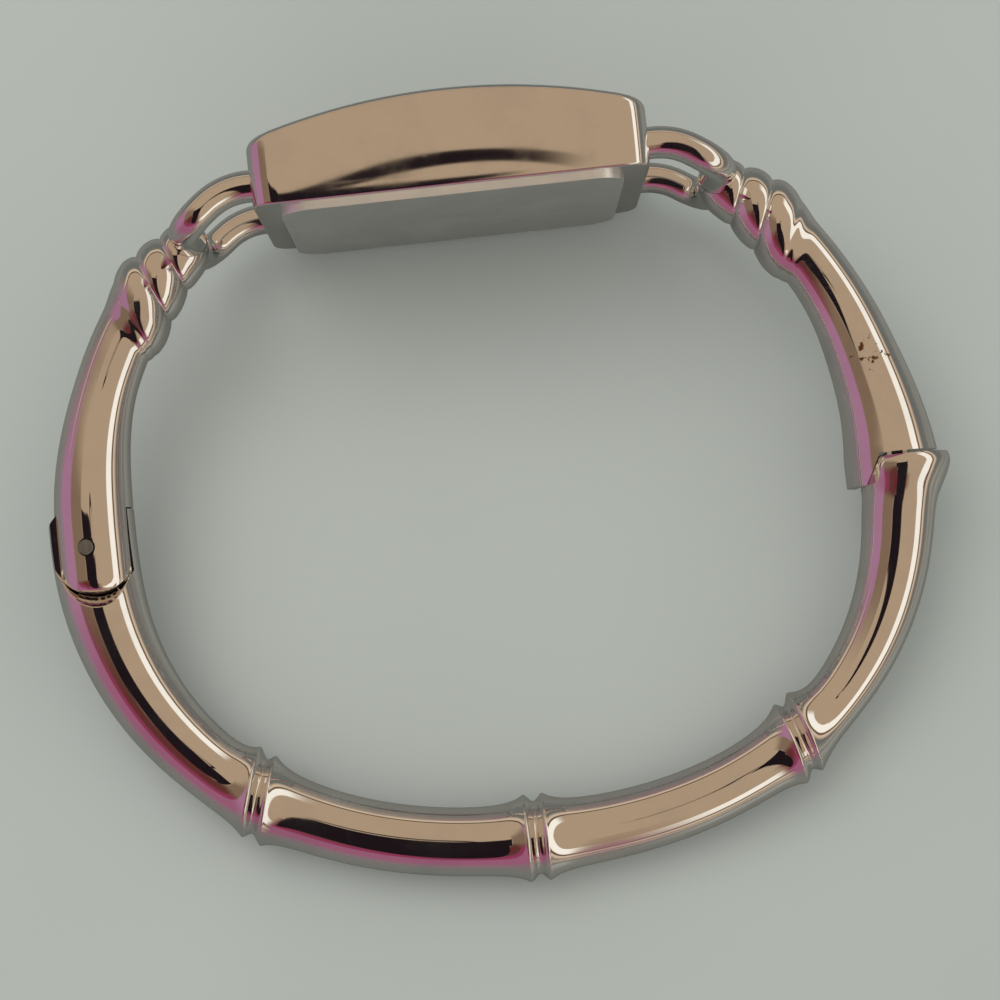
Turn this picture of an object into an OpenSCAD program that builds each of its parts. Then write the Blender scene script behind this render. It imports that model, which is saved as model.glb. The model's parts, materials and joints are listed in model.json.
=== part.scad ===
// Bracelet watch: a rectangular arched case on a rigid hinged bangle of bamboo-like segments.
// X runs along the case from 6 to 12 o'clock, Y points out of the dial, Z runs along the wrist.
// The origin is the middle of the case back's outer face.

/* [Bangle oval] */
// Distance of the lower bangle's centre line from the case's middle at the hinge
low_hinge_w = 31.5; // [30.9:0.1:34]
// Distance of the lower bangle's centre line from the case's middle at the clasp
low_clasp_w = 32.9; // [32.4:0.1:36]
// Offset of the lowest point of the bangle from the case's middle, towards the clasp
low_offset = 1.1; // [0:0.1:1.4]
// Depth of the lower centre line under the hinge line
low_drop = 27.1; // [25:0.1:31]
// Fullness of the lower curve on the hinge side, where 2 is an ellipse and more is squarer
hinge_fullness = 2.2; // [2.05:0.01:2.35]
// Fullness of the lower curve on the clasp side
clasp_fullness = 2.29; // [2.1:0.01:2.45]
// Distance by which the upper arm's centre line lies inside the lower bangle's at the hinge
hinge_step = 0.2; // [0:0.05:0.4]
// Distance by which the upper arm's centre line lies inside the lower bangle's at the clasp
clasp_step = 0.8; // [0.5:0.05:1.1]
// Height at which the upper arms' curve would close over the middle
arm_rise = 29.1; // [28.6:0.1:29.6]
// Fullness of the upper arms' curve
arm_fullness = 2.27; // [2.2:0.01:2.32]
// Height of the case back over the hinge line
back_over_hinge = 22.9; // [22.5:0.1:23.3]

/* [Bamboo segments] */
// Tube diameter in the middle of the lower segments
tube_d = 5.4; // [4.9:0.05:6.2]
// Tube diameter at the neck over the node next to the clasp
neck_d = 4.4; // [4:0.05:5.4]
// Diameter over the ridges of a bamboo node
ridge_d = 6.95; // [6.5:0.05:8]
// Diameter in the groove between two ridges
groove_d = 5.75; // [5.5:0.05:6.3]
// Distance between the two ridges of a node
ridge_pitch = 1.6; // [1.3:0.05:2]
// Length over which a segment flares up to its ridge
flare_length = 1.15; // [0.8:0.05:1.5]
// Distance of the two outer nodes from the middle
node_spread = 21.5; // [19:0.1:23]
// Share of the tube's slope by which the node rings stand steeper
ring_lean = 0.5; // [0:0.05:0.6]

/* [Upper arms] */
// Distance of the middle knot bead from the case's middle
knot_spread = 23.8; // [23.5:0.05:24.1]
// Distance between two knot beads
knot_pitch = 2.55; // [2.3:0.05:2.7]
// Diameter of the bead next to the case
bead_a_d = 4.6; // [4.3:0.05:4.9]
// Diameter of the middle bead
bead_b_d = 5.6; // [5.2:0.05:6]
// Diameter of the bead next to the arm
bead_c_d = 6.4; // [6:0.05:6.8]
// Depth of the grooves between the beads
bead_groove = 0.55; // [0.3:0.05:0.7]
// Diameter of the arms under the knots
arm_d = 4.95; // [4.5:0.05:5.4]
// Length over which the clasp arm swells towards its end
clasp_swell = 16; // [12:0.5:17]
// Length over which the hinge arm swells towards its end
hinge_swell = 12; // [9:0.5:13]

/* [Stirrups] */
// Diameter of the stirrup rod
stirrup_d = 2.5; // [2.2:0.05:2.7]
// Distance between the two legs of a stirrup, centre to centre
stirrup_span = 14; // [13:0.1:15]
// Radius of the bend where a leg turns down beside the case
leg_bend_r = 5.4; // [4.8:0.1:5.6]
// Radius of the corner between a leg and the cross bar
corner_r = 2.3; // [2:0.05:2.6]
// Depth of a leg's socket in the case
socket_depth = 2; // [1.2:0.1:2.4]

/* [Hinge] */
// Diameter of the upper arm at the hinge
cheek_d = 6.3; // [6:0.05:6.6]
// Diameter of the lower bangle at the hinge
collar_d = 6.85; // [6.6:0.05:7.2]
// Distance of the pin under the hinge line
pin_drop = 0.45; // [0:0.05:0.8]
// Distance of the pin outwards from the lower bangle's centre line
pin_out = 0.15; // [0:0.05:0.4]
// Diameter of the hinge pin
pin_d = 1.2; // [1:0.05:1.4]
// Thickness of the tongue between the two cheeks
tongue_t = 2.8; // [2.4:0.05:3.1]
// Radius of the knuckle on the tongue
knuckle_r = 3.7; // [3.6:0.05:3.8]
// Radius of the cheeks' round end about the pin
cheek_end_r = 3.85; // [3.75:0.05:3.95]
// Width of the bevelled rim round the collar's cup
rim_w = 1.3; // [0.9:0.05:1.4]
// Running gap beside the moving faces of the hinge
hinge_gap = 0.12; // [0.08:0.01:0.16]
// Radial clearance of the hinge pin in the knuckle
pin_fit = 0.03; // [0.02:0.005:0.05]

/* [Clasp] */
// Diameter of both flares that meet at the clasp
clasp_d = 7.5; // [7.1:0.05:7.8]
// Distance by which the upper flare leans outwards at its end
upper_lean = 0.5; // [0.2:0.05:0.6]
// Distance by which the lower flare leans outwards at its end
lower_lean = 0.7; // [0.4:0.05:0.9]
// Gap between the two end faces of the clasp
clasp_gap = 0.2; // [0.15:0.01:0.3]
// Length of the lip that runs past the joint on the inside
lip_length = 2.3; // [1.8:0.05:2.8]
// Thickness of the lip at the joint
lip_root_t = 2.3; // [2:0.05:2.5]
// Thickness of the lip at its end
lip_end_t = 1.15; // [0.9:0.05:1.4]
// Width of the spring tongue along the wrist axis
leaf_w = 3; // [2.5:0.05:3.4]
// Thickness of the spring tongue's sheet
leaf_t = 0.35; // [0.3:0.01:0.42]
// Thickness of the folded spring tongue
leaf_fold_t = 1.6; // [1.4:0.05:1.8]
// Height of the spring tongue over the joint
leaf_rise = 2.8; // [2.3:0.05:3.1]
// Depth of the spring tongue's seat in the lower bangle
leaf_seat = 2.2; // [1.8:0.05:2.6]
// Clearance round the spring tongue in its pocket
leaf_fit = 0.2; // [0.15:0.01:0.25]
// Diameter of the rivet that holds the spring tongue
rivet_d = 0.8; // [0.7:0.05:0.9]

/* [Case] */
// Length of the case from 12 to 6 o'clock
case_len = 30.9; // [30.6:0.1:31.2]
// Width of the case from 9 to 3 o'clock
case_w = 20.8; // [20.4:0.1:21.4]
// Height of the case ends over the case back's face
end_h = 5.85; // [5.6:0.05:6]
// Height of the arched top's crown over the case back's face
apex_h = 8.3; // [8.1:0.05:8.5]
// Radius of the case's upright corners
case_corner_r = 1.9; // [1.4:0.1:2.4]
// Radius of the rounded rim at the top of the case
bezel_round = 0.75; // [0.5:0.05:0.9]
// Thickness of the case wall at the two ends
end_wall = 3.2; // [2.9:0.05:3.4]
// Thickness of the case wall at the two long sides
side_wall = 2.5; // [2.3:0.05:2.6]
// Length of the dial opening
window_len = 22.4; // [21.6:0.1:22.8]
// Width of the dial opening
window_w = 12.8; // [12.4:0.1:13]
// Height of the ledge that the dial rests against
dial_ledge = 4.5; // [4.45:0.01:4.55]

/* [Crystal] */
// Thickness of the curved crystal
crystal_t = 1.1; // [0.9:0.05:1.2]
// Width of the seat round the crystal
crystal_seat = 0.6; // [0.5:0.05:0.7]
// Thickness of the crystal's gasket
crystal_gasket_t = 0.2; // [0.15:0.01:0.25]

/* [Case back] */
// Thickness of the case back's plate
back_t = 0.7; // [0.6:0.02:0.8]
// Distance of the case back's plate from the case's two ends
back_end_inset = 2.15; // [1.65:0.05:2.3]
// Distance of the case back's plate from the case's long sides
back_side_inset = 0.3; // [0.2:0.05:1]
// Height of the snap rim inside the case
snap_h = 0.8; // [0.6:0.05:0.85]
// Thickness of the snap rim
snap_t = 0.6; // [0.5:0.05:0.7]
// Clearance of the snap rim in the case
snap_fit = 0.05; // [0.03:0.01:0.08]

/* [Dial and hands] */
// Thickness of the dial
dial_t = 0.4; // [0.3:0.02:0.45]
// Length of the minute hand from its axis
minute_len = 5.7; // [4.9:0.1:5.9]
// Length of the hour hand from its axis
hour_len = 3.8; // [3.2:0.1:4.2]
// Thickness of the hands
hand_t = 0.18; // [0.12:0.01:0.19]
// Length of an hour marker
marker_len = 1.5; // [1:0.05:1.8]
// Width of an hour marker
marker_w = 0.45; // [0.3:0.05:0.6]

/* [Movement] */
// Length of the quartz movement along the case
movement_len = 15.2; // [14.8:0.1:15.6]
// Width of the quartz movement across the case
movement_w = 12.4; // [12.2:0.1:12.6]
// Thickness of the main plate
plate_t = 1; // [0.9:0.02:1.05]
// Diameter of the button cell
battery_d = 6.8; // [6.4:0.1:7]
// Thickness of the button cell
battery_t = 1.65; // [1.4:0.05:1.7]
// Module of the hand gears, which is pitch diameter by tooth count
gear_module = 0.16; // [0.154:0.001:0.166]

/* [Crown] */
// Diameter of the crown
crown_d = 3.8; // [3.4:0.1:4]
// Height of the crown
crown_h = 2.4; // [2.2:0.05:2.8]
// Gap between the crown and the case
crown_gap = 0.3; // [0.25:0.01:0.4]
// Number of flutes round the crown
crown_flutes = 24; // [18:1:28]
// Diameter of the winding stem
stem_d = 0.9; // [0.8:0.05:1]
// Height of the stem over the case back's face
stem_h = 3; // [2.95:0.01:3.1]
// Radial clearance of the stem in its tube
stem_fit = 0.05; // [0.03:0.01:0.08]

/* [Hidden] */

metal = "#cfc8bf";
bright = "#e2ddd6";
brass = "#c9a860";
dark = "#4a4a4c";
$fn = 72;
tiny = 0.02;
big = 200;

// Superellipse point at an angle, for a half width, a half height and a fullness
function oval_point(t, a, b, fullness) =
  [a * sign(cos(t)) * pow(abs(cos(t)), 2 / fullness), b * sign(sin(t)) * pow(abs(sin(t)), 2 / fullness)];

// Running length of a polyline at each of its points
function run_lengths(pts) =
  let (steps = [for (i = [0 : len(pts) - 1]) i == 0 ? 0 : norm(pts[i] - pts[i - 1])])
  [for (i = 0, run = 0; i < len(pts); i = i + 1, run = run + (i < len(pts) ? steps[i] : 0)) run];

// A path holds its length tables for x and y
function make_path(pts) =
  let (run = run_lengths(pts))
  [[for (i = [0 : len(pts) - 1]) [run[i], pts[i][0]]],
   [for (i = [0 : len(pts) - 1]) [run[i], pts[i][1]]],
   run[len(pts) - 1]];
function on_path(path, s) = [lookup(s, path[0]), lookup(s, path[1])];
slope_step = 0.3;
function path_slope(path, s) =
  let (d = on_path(path, s + slope_step) - on_path(path, s - slope_step))
  atan2(d[1], d[0]);
// Length along a path where it passes a given x
function run_at_x(path, x) = lookup(x, [for (p = path[0]) [p[1], p[0]]]);

function smooth_step(t) = let (u = min(1, max(0, t))) u * u * (3 - 2 * u);
function sum(v, i = 0) = i < len(v) ? v[i] + sum(v, i + 1) : 0;

// One section of a tube: its plane turns from square to the path by the skew angle
sides = 20;
function tube_ring(c, slope, skew, r) =
  let (n = slope - skew, u = [-sin(n), cos(n)], w = r / cos(skew))
  [for (k = [0 : sides - 1])
    let (across = w * cos(360 * k / sides))
    [c[0] + u[0] * across, c[1] + u[1] * across, r * sin(360 * k / sides)]];

// A closed tube through a list of sections
module tube(rings) {
  n = len(rings);
  points = [for (ring = rings) each ring];
  walls = [for (i = [0 : n - 2], k = [0 : sides - 1])
    let (a = i * sides + k, b = i * sides + (k + 1) % sides)
    each [[a, a + sides, b + sides], [a, b + sides, b]]];
  first = [for (k = [0 : sides - 1]) k];
  last = [for (k = [sides - 1 : -1 : 0]) (n - 1) * sides + k];
  polyhedron(points = points, faces = concat([first], walls, [last]), convexity = 10);
}

// Solid with a rounded rectangle as its plan, from one height to another, standing on Y
module rounded_block(length, width, r, from, to) {
  translate([0, to, 0])
    rotate([90, 0, 0])
      linear_extrude(height = to - from) {
        square([length - 2 * r, width], center = true);
        square([length, width - 2 * r], center = true);
        for (x = [-1, 1], y = [-1, 1])
          translate([x * (length / 2 - r), y * (width / 2 - r)])
            circle(r = r);
      }
}

// Cylinder along Y, from one height to another
module post(x, z, r, from, to) {
  translate([x, to, z])
    rotate([90, 0, 0])
      cylinder(h = to - from, r = r);
}

// Places what is drawn about the middle of the bangle's oval
module from_oval() {
  translate([0, -back_over_hinge, 0])
    children();
}

// Lower bangle, drawn from the hinge to the clasp
low_start = 3.6;
low_steps = 60;
low_curve = concat(
  [for (i = [0 : low_steps - 1]) [low_offset, 0]
    + oval_point(180 + 90 * i / low_steps, low_hinge_w + low_offset, low_drop, hinge_fullness)],
  [for (i = [0 : low_steps]) [low_offset, 0]
    + oval_point(270 + 90 * i / low_steps, low_clasp_w - low_offset, low_drop, clasp_fullness)]);
low_path = make_path(concat([[-low_hinge_w, low_start]], low_curve));
low_total = low_path[2] - clasp_gap / 2;
nodes_at = [for (x = [-node_spread, 0, node_spread]) run_at_x(low_path, low_offset + x)];
flare_reach = 4.2;
clasp_flare = 3;
flare_extra = 0.65;
edge_round = 0.25;

// Height of a node's double ridge over the tube at a distance from its middle
function node_bump(d) =
  let (half = ridge_pitch / 2, ridge = (ridge_d - tube_d) / 2, groove = (groove_d - tube_d) / 2)
  abs(d) > half ? ridge * exp(-(abs(d) - half) / flare_length)
                : groove + (ridge - groove) * (0.5 - 0.5 * cos(180 * abs(d) / half));
// Lengths over which the collar and the neck hold their width, change it, and round the clasp's edge
collar_hold = 3;
collar_taper = 19;
collar_power = 1.15;
neck_hold = 3;
neck_fade = 4;
edge_len = 0.8;
// Radius of the lower tube between its nodes: from the collar down to the neck, then out to the clasp
function low_base(s) =
  let (past_collar = max(0, s - low_start - collar_hold) / collar_taper,
       to_hinge = (collar_d - tube_d) / 2 * pow(max(0, 1 - past_collar), collar_power),
       neck_from = nodes_at[2],
       past_middle = min(1, max(0, (s - nodes_at[1]) / (neck_from - nodes_at[1]))),
       slim = (tube_d - neck_d) / 4 * (past_middle + smooth_step((s - neck_from) / neck_fade)),
       swell_at = neck_from + neck_hold,
       to_clasp = ((clasp_d - neck_d) / 2 - flare_extra) * max(0, (s - swell_at) / (low_total - swell_at)),
       flare = flare_extra * (1 - smooth_step((low_total - s - edge_len) / clasp_flare)),
       edge = edge_round * pow(max(0, 1 - (low_total - s) / edge_len), 2))
  tube_d / 2 + to_hinge - slim + to_clasp + flare - edge;
function low_radius(s) =
  low_base(s) + sum([for (c = nodes_at) abs(s - c) < flare_reach + 1 ? node_bump(s - c) : 0]);
lean_hold = 1;
lean_fade = 6;
function low_skew(s) =
  path_slope(low_path, s) * ring_lean
    * sum([for (c = nodes_at) 1 - smooth_step((abs(s - c) - lean_hold) / lean_fade)]);
function spread_steps(from, to, n) = [for (i = [1 : n - 1]) from + (to - from) * i / n];
node_half = [0.28, 0.55, 0.8, 1.1, 1.5, 2.1, 2.9, flare_reach];
node_offsets = concat([for (i = [7 : -1 : 0]) -node_half[i]], [0], node_half);
low_stations = concat(
  [0, 1.8, low_start, low_start + 2, low_start + 4],
  spread_steps(low_start + 4, nodes_at[0] - flare_reach, 6),
  [for (d = node_offsets) nodes_at[0] + d],
  spread_steps(nodes_at[0] + flare_reach, nodes_at[1] - flare_reach, 5),
  [for (d = node_offsets) nodes_at[1] + d],
  spread_steps(nodes_at[1] + flare_reach, nodes_at[2] - flare_reach, 5),
  [for (d = node_offsets) nodes_at[2] + d],
  spread_steps(nodes_at[2] + flare_reach, low_total - 5.5, 5),
  [for (d = [5.5, 4.3, 3.4, 2.6, 1.8, 0.8, 0.35, 0]) low_total - d]);
// The clasp flare leans outwards, past the upper arm's flare
lean_length = 5;
function low_point(s) = on_path(low_path, s) + [lower_lean * (1 - smooth_step((low_total - s) / lean_length)), 0];
low_rings = [for (s = low_stations)
  tube_ring(low_point(s), path_slope(low_path, min(s, low_total - slope_step)), low_skew(s), low_radius(s))];

// Hinge places, measured from the middle of the oval
pin_at = [-low_hinge_w - pin_out, -pin_drop];
slot_t = tongue_t + 0.1;
cheek_centre = [0.5, -0.15];
cheek_round_r = 3.5;
shoulder_drop = 1.3;
horn_from = 1.9;
horn_top = 2.8;

module about_pin(t) {
  translate([pin_at[0], pin_at[1], -t / 2])
    children();
}

// Outline in which the cheeks' ends lie, grown by a gap
module cheek_outline(gap) {
  intersection() {
    circle(r = cheek_end_r + gap);
    translate(cheek_centre)
      circle(r = cheek_round_r + gap);
  }
}

// Bevel of the collar's cup on the near side or, mirrored, the far side
module rim_bevel() {
  depth = 1.5;
  top = collar_d / 2;
  translate([pin_at[0] + cheek_centre[0], pin_at[1] + cheek_centre[1], top - depth])
    cylinder(h = depth + tiny, r1 = cheek_round_r - 0.05, r2 = cheek_round_r + rim_w);
}

module lower_bangle() {
  color(metal)
    from_oval()
      difference() {
        tube(low_rings);
        // Room over the knuckle, and beside the tongue for the two cheeks
        difference() {
          about_pin(big)
            translate([-8, 0, 0])
              cube([16, 8, big]);
          about_pin(big)
            cylinder(h = big, r = knuckle_r);
          about_pin(big)
            translate([horn_from, 0, 0])
              cube([8, horn_top, big]);
        }
        for (side = [0, 1])
          mirror([0, 0, side])
            translate([0, 0, tongue_t / 2]) {
              translate([pin_at[0] - 8, pin_at[1] - shoulder_drop, 0])
                cube([16, 8, 8]);
              translate([pin_at[0], pin_at[1], 0])
                linear_extrude(height = 8)
                  cheek_outline(hinge_gap);
            }
        for (side = [0, 1])
          mirror([0, 0, side])
            rim_bevel();
        about_pin(big)
          cylinder(h = big, r = pin_d / 2 + pin_fit);
        // Room for the upper arm's lip at the clasp, and the seat of the spring tongue
        lip_wedge(0.15, 0.35);
        translate([leaf_x - leaf_fold_t / 2, -clasp_gap / 2 - leaf_seat, -leaf_w / 2])
          cube([leaf_fold_t, leaf_seat + 1, leaf_w]);
        translate([0, -clasp_gap / 2 - leaf_seat / 2, 0])
          rivet_shape(0);
      }
}

// Clasp places, measured from the middle of the oval
arm_clasp_w = low_clasp_w - clasp_step;
upper_end_x = arm_clasp_w + upper_lean;
flare_in_x = upper_end_x - clasp_d / 2;
leaf_off = 0.3;
leaf_x = upper_end_x + leaf_off;

// Wedge that the lip fills, grown by a gap at its slanted face and past its end
module lip_wedge(gap, end_gap) {
  slant = (lip_root_t - lip_end_t) / lip_length;
  top = 1;
  linear_extrude(height = big, center = true)
    polygon([
      [flare_in_x - 4, top],
      [flare_in_x + lip_root_t + slant * top + gap, top],
      [flare_in_x + lip_end_t - slant * end_gap + gap, -lip_length - end_gap],
      [flare_in_x - 4, -lip_length - end_gap]]);
}

// Rivet that crosses the lower bangle's end along Z
rivet_len = 4.6;
module rivet_shape(fit) {
  translate([leaf_x, 0, -rivet_len / 2])
    cylinder(h = rivet_len, r = rivet_d / 2 + fit);
}

module clasp_rivet() {
  color(metal)
    from_oval()
      translate([0, -clasp_gap / 2 - leaf_seat / 2, 0])
        rivet_shape(-0.01);
}

// Folded sheet spring: two leaves joined by a round fold, with a catch step on the outer leaf
module clasp_tongue() {
  foot = -clasp_gap / 2 - leaf_seat;
  fold_r = leaf_fold_t / 2;
  color(bright)
    from_oval()
      difference() {
        translate([leaf_x, 0, -leaf_w / 2])
          linear_extrude(height = leaf_w)
            difference() {
              union() {
                translate([-fold_r, foot])
                  square([leaf_fold_t, leaf_rise - fold_r - foot]);
                translate([0, leaf_rise - fold_r])
                  circle(r = fold_r);
              }
              translate([-fold_r + leaf_t, foot + leaf_t])
                square([leaf_fold_t - 2 * leaf_t, leaf_rise - fold_r - foot - leaf_t]);
              translate([0, leaf_rise - fold_r])
                circle(r = fold_r - leaf_t);
            }
        translate([0, -clasp_gap / 2 - leaf_seat / 2, 0])
          rivet_shape(0);
      }
}

// Upper arm of the clasp side, drawn on +X from its end up to the stirrup
arm_hinge_w = low_hinge_w - hinge_step;
arm_steps = 140;
arm_curve_end = 71.3;
function arm_path_to(half_w) =
  make_path([for (i = [0 : arm_steps])
    oval_point(arm_curve_end * i / arm_steps, half_w, arm_rise, arm_fullness)]);
knot_fade = 1.6;
bead_radii = [[-knot_pitch, bead_c_d / 2], [0, bead_b_d / 2], [knot_pitch, bead_a_d / 2]];

bead_tail = 0.4;
bead_steepness = 0.95;
knots_from = -1.5 * knot_pitch - bead_tail;

// Radius of the beads at a distance from the middle one, towards the case; the bead next to the arm has a tail
function bead_radius(d) =
  let (nearest = min(1, max(-1, round(d / knot_pitch))) * knot_pitch,
       half = knot_pitch / 2 + (d < -knot_pitch ? bead_tail : 0),
       off = bead_steepness * min(1, abs(d - nearest) / half))
  lookup(d, bead_radii) - bead_groove * (1 - sqrt(1 - off * off));
// The hinge arm keeps its full width up to here
swell_from = 2;
function clasp_arm_base(s) = arm_d / 2 + (clasp_d - arm_d) / 2 * pow(max(0, 1 - s / clasp_swell), 1.5);
function hinge_arm_base(s) =
  arm_d / 2 + (cheek_d - arm_d) / 2 * (1 - smooth_step((s - swell_from) / hinge_swell));
function arm_radius(s, knot_at, at_clasp) =
  let (d = s - knot_at, base = at_clasp ? clasp_arm_base(s) : hinge_arm_base(s))
  d >= knots_from ? bead_radius(d)
                  : let (t = smooth_step((knots_from - d) / knot_fade))
                    (1 - t) * bead_radius(knots_from) + t * base;
// The knots' rings are parallel to each other, and turn square to the arm under them
skew_fade = 5;
function arm_skew(path, s, knot_at) =
  let (middle = path_slope(path, knot_at), ring_turn = middle + (180 - middle) * ring_lean)
  (path_slope(path, s) - ring_turn) * (1 - smooth_step((abs(s - knot_at) - 1.5 * knot_pitch) / skew_fade));
bead_offsets = [-1.36, -1.18, -1, -0.82, -0.64, -0.5, -0.36, -0.18, 0, 0.18, 0.36, 0.5, 0.64, 0.82, 1];
function arm_stations(knot_at) = concat(
  [0],
  spread_steps(0, knot_at + knots_from - knot_fade, 9),
  [for (share = [1, 0.65, 0.3, 0]) knot_at + knots_from - share * knot_fade],
  [for (d = bead_offsets) knot_at + d * knot_pitch]);
// The last bead closes as a ball over the stirrup's cross bar
cap_r = bead_a_d / 2;
cap_angles = [25, 48, 68, 82];
function arm_rings(path, at_clasp, extra) =
  let (knot_at = run_at_x(path, knot_spread), last = knot_at + knot_pitch, lean = at_clasp ? upper_lean : 0)
  concat(
    [for (s = extra) tube_ring(on_path(path, 0) + [lean, -s], 90, 0, arm_radius(0, knot_at, at_clasp))],
    [for (s = arm_stations(knot_at))
      tube_ring(on_path(path, s) + [lean * (1 - smooth_step(s / (2 * lean_length))), 0],
        path_slope(path, max(s, slope_step)), arm_skew(path, s, knot_at), arm_radius(s, knot_at, at_clasp))],
    [for (a = cap_angles)
      tube_ring(on_path(path, last + cap_r * sin(a)), path_slope(path, last), arm_skew(path, last, knot_at),
        cap_r * cos(a))]);

// Stirrup: two legs out of the case end, a bend down, a corner each and the cross bar in the first bead's eye
eye_inset = 0.85;
link_len = 0.4;
corner_reach = corner_r + link_len;
leg_y = stem_h - 0.1;
hinge_arm_path = arm_path_to(arm_hinge_w);
clasp_arm_path = arm_path_to(arm_clasp_w);
function eye_on(path) =
  on_path(path, run_at_x(path, knot_spread) + knot_pitch + eye_inset) - [0, back_over_hinge];
// Angle by which a leg bends so that its cross bar comes to the height of the eye
function bend_to(eye) =
  acos((eye[1] - leg_y + leg_bend_r) / norm([leg_bend_r, corner_reach])) - atan2(corner_reach, leg_bend_r);
leg_from_x = case_len / 2 - socket_depth;
bar_half = stirrup_span / 2 - corner_r;

module rod(length) {
  cylinder(h = length, r = stirrup_d / 2);
}

module rod_arc(r, angle) {
  rotate_extrude(angle = angle)
    translate([r, 0])
      circle(r = stirrup_d / 2);
}

// Fine weld band that joins two stretches of the rod
weld_len = 0.2;
weld_r = stirrup_d / 2 + 0.02;
module weld(length) {
  translate([0, 0, -weld_len / 2])
    cylinder(h = length + weld_len, r = weld_r);
}

// Drawn about the centre of the bend
module stirrup_side(leg_len, angle) {
  translate([-leg_len, leg_bend_r, stirrup_span / 2])
    rotate([0, 90, 0])
      rod(leg_len - tiny);
  translate([0, leg_bend_r, stirrup_span / 2])
    rotate([0, 90, 0])
      weld(0);
  rotate([0, 0, -angle]) {
    translate([0, 0, stirrup_span / 2])
      rotate([0, 0, 90])
        rod_arc(leg_bend_r, angle);
    translate([0, leg_bend_r, stirrup_span / 2])
      rotate([0, 90, 0])
        weld(link_len);
    translate([link_len, leg_bend_r, bar_half])
      rotate([90, 0, 0])
        rod_arc(corner_r, 90);
    translate([corner_reach, leg_bend_r, bar_half])
      weld(0);
  }
}

module stirrup(eye) {
  angle = bend_to(eye);
  bend_x = eye[0] - leg_bend_r * sin(angle) - corner_reach * cos(angle);
  color(metal)
    translate([bend_x, leg_y - leg_bend_r, 0]) {
      for (side = [0, 1])
        mirror([0, 0, side])
          stirrup_side(bend_x - leg_from_x, angle);
      rotate([0, 0, -angle])
        translate([corner_reach, leg_bend_r, tiny - bar_half])
          rod(2 * bar_half - 2 * tiny);
    }
}

module right_stirrup() {
  stirrup(eye_on(clasp_arm_path));
}

module left_stirrup() {
  mirror([1, 0, 0])
    stirrup(eye_on(hinge_arm_path));
}

// Eye through the first bead for the cross bar
seat_fit = 0.01;
module eye_bore(eye) {
  translate([eye[0], eye[1], -big / 2])
    cylinder(h = big, r = stirrup_d / 2 + seat_fit);
}

// The arms' tubes start this far under the hinge line, and their ends are cut out of that
lip_spare = 1.4;
face_spare = 1.2;
cheek_spare = 0.6;
cheek_middle = 2;
end_cut = 8;
module right_arm() {
  face = clasp_gap / 2;
  color(metal)
    difference() {
      from_oval()
        difference() {
          tube(arm_rings(clasp_arm_path, true, [lip_length + lip_spare, face_spare]));
          // Only the lip runs past the end face
          difference() {
            translate([upper_end_x - end_cut, face - end_cut, -end_cut])
              cube([2 * end_cut, end_cut, 2 * end_cut]);
            lip_wedge(0, 0);
          }
          translate([leaf_x - leaf_fold_t / 2 - leaf_fit, face - 1, -leaf_w / 2 - leaf_fit])
            cube([leaf_fold_t + 2 * leaf_fit, leaf_rise + leaf_fit + 1, leaf_w + 2 * leaf_fit]);
        }
      eye_bore(eye_on(clasp_arm_path));
    }
}

module left_arm() {
  color(metal)
    difference() {
      from_oval()
        difference() {
          mirror([1, 0, 0])
            tube(arm_rings(hinge_arm_path, false, [pin_drop + cheek_end_r + cheek_spare, cheek_middle]));
          // The cheeks end round, about the pin
          difference() {
            about_pin(big)
              translate([-end_cut, -end_cut, 0])
                cube([2 * end_cut, end_cut, big]);
            about_pin(big)
              linear_extrude(height = big)
                cheek_outline(0);
          }
          // Slot for the tongue, its knuckle and its horn
          about_pin(slot_t)
            cylinder(h = slot_t, r = knuckle_r + hinge_gap);
          about_pin(slot_t)
            translate([-end_cut, -end_cut, 0])
              cube([2 * end_cut, end_cut, slot_t]);
          about_pin(slot_t)
            translate([horn_from - hinge_gap, 0, 0])
              cube([end_cut, horn_top + hinge_gap, slot_t]);
          about_pin(big)
            cylinder(h = big, r = pin_d / 2 + seat_fit);
        }
      mirror([1, 0, 0])
        eye_bore(eye_on(hinge_arm_path));
    }
}

// The pin ends flush with the round of the cheeks
pin_half = sqrt(pow(cheek_d / 2, 2) - pow(pin_at[0] + arm_hinge_w, 2)) - 0.05;
module hinge_pin() {
  color(metal)
    from_oval()
      about_pin(2 * pin_half)
        cylinder(h = 2 * pin_half, r = pin_d / 2);
}

// Arch of the case's top: its radius and the height of its centre
arch_sag = apex_h - end_h;
arch_r = (pow(case_len / 2, 2) + arch_sag * arch_sag) / (2 * arch_sag);
arch_y = apex_h - arch_r;
cavity_len = case_len - 2 * end_wall;
cavity_w = case_w - 2 * side_wall;
cavity_r = 1.2;
window_r = 1.4;
end_round = 1.3;

// Everything between two radii of the arch
module arch_shell(inner, outer) {
  translate([0, arch_y, -big / 2])
    difference() {
      cylinder(h = big, r = outer, $fn = 360);
      translate([0, 0, -1])
        cylinder(h = big + 2, r = inner, $fn = 360);
    }
}

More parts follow.
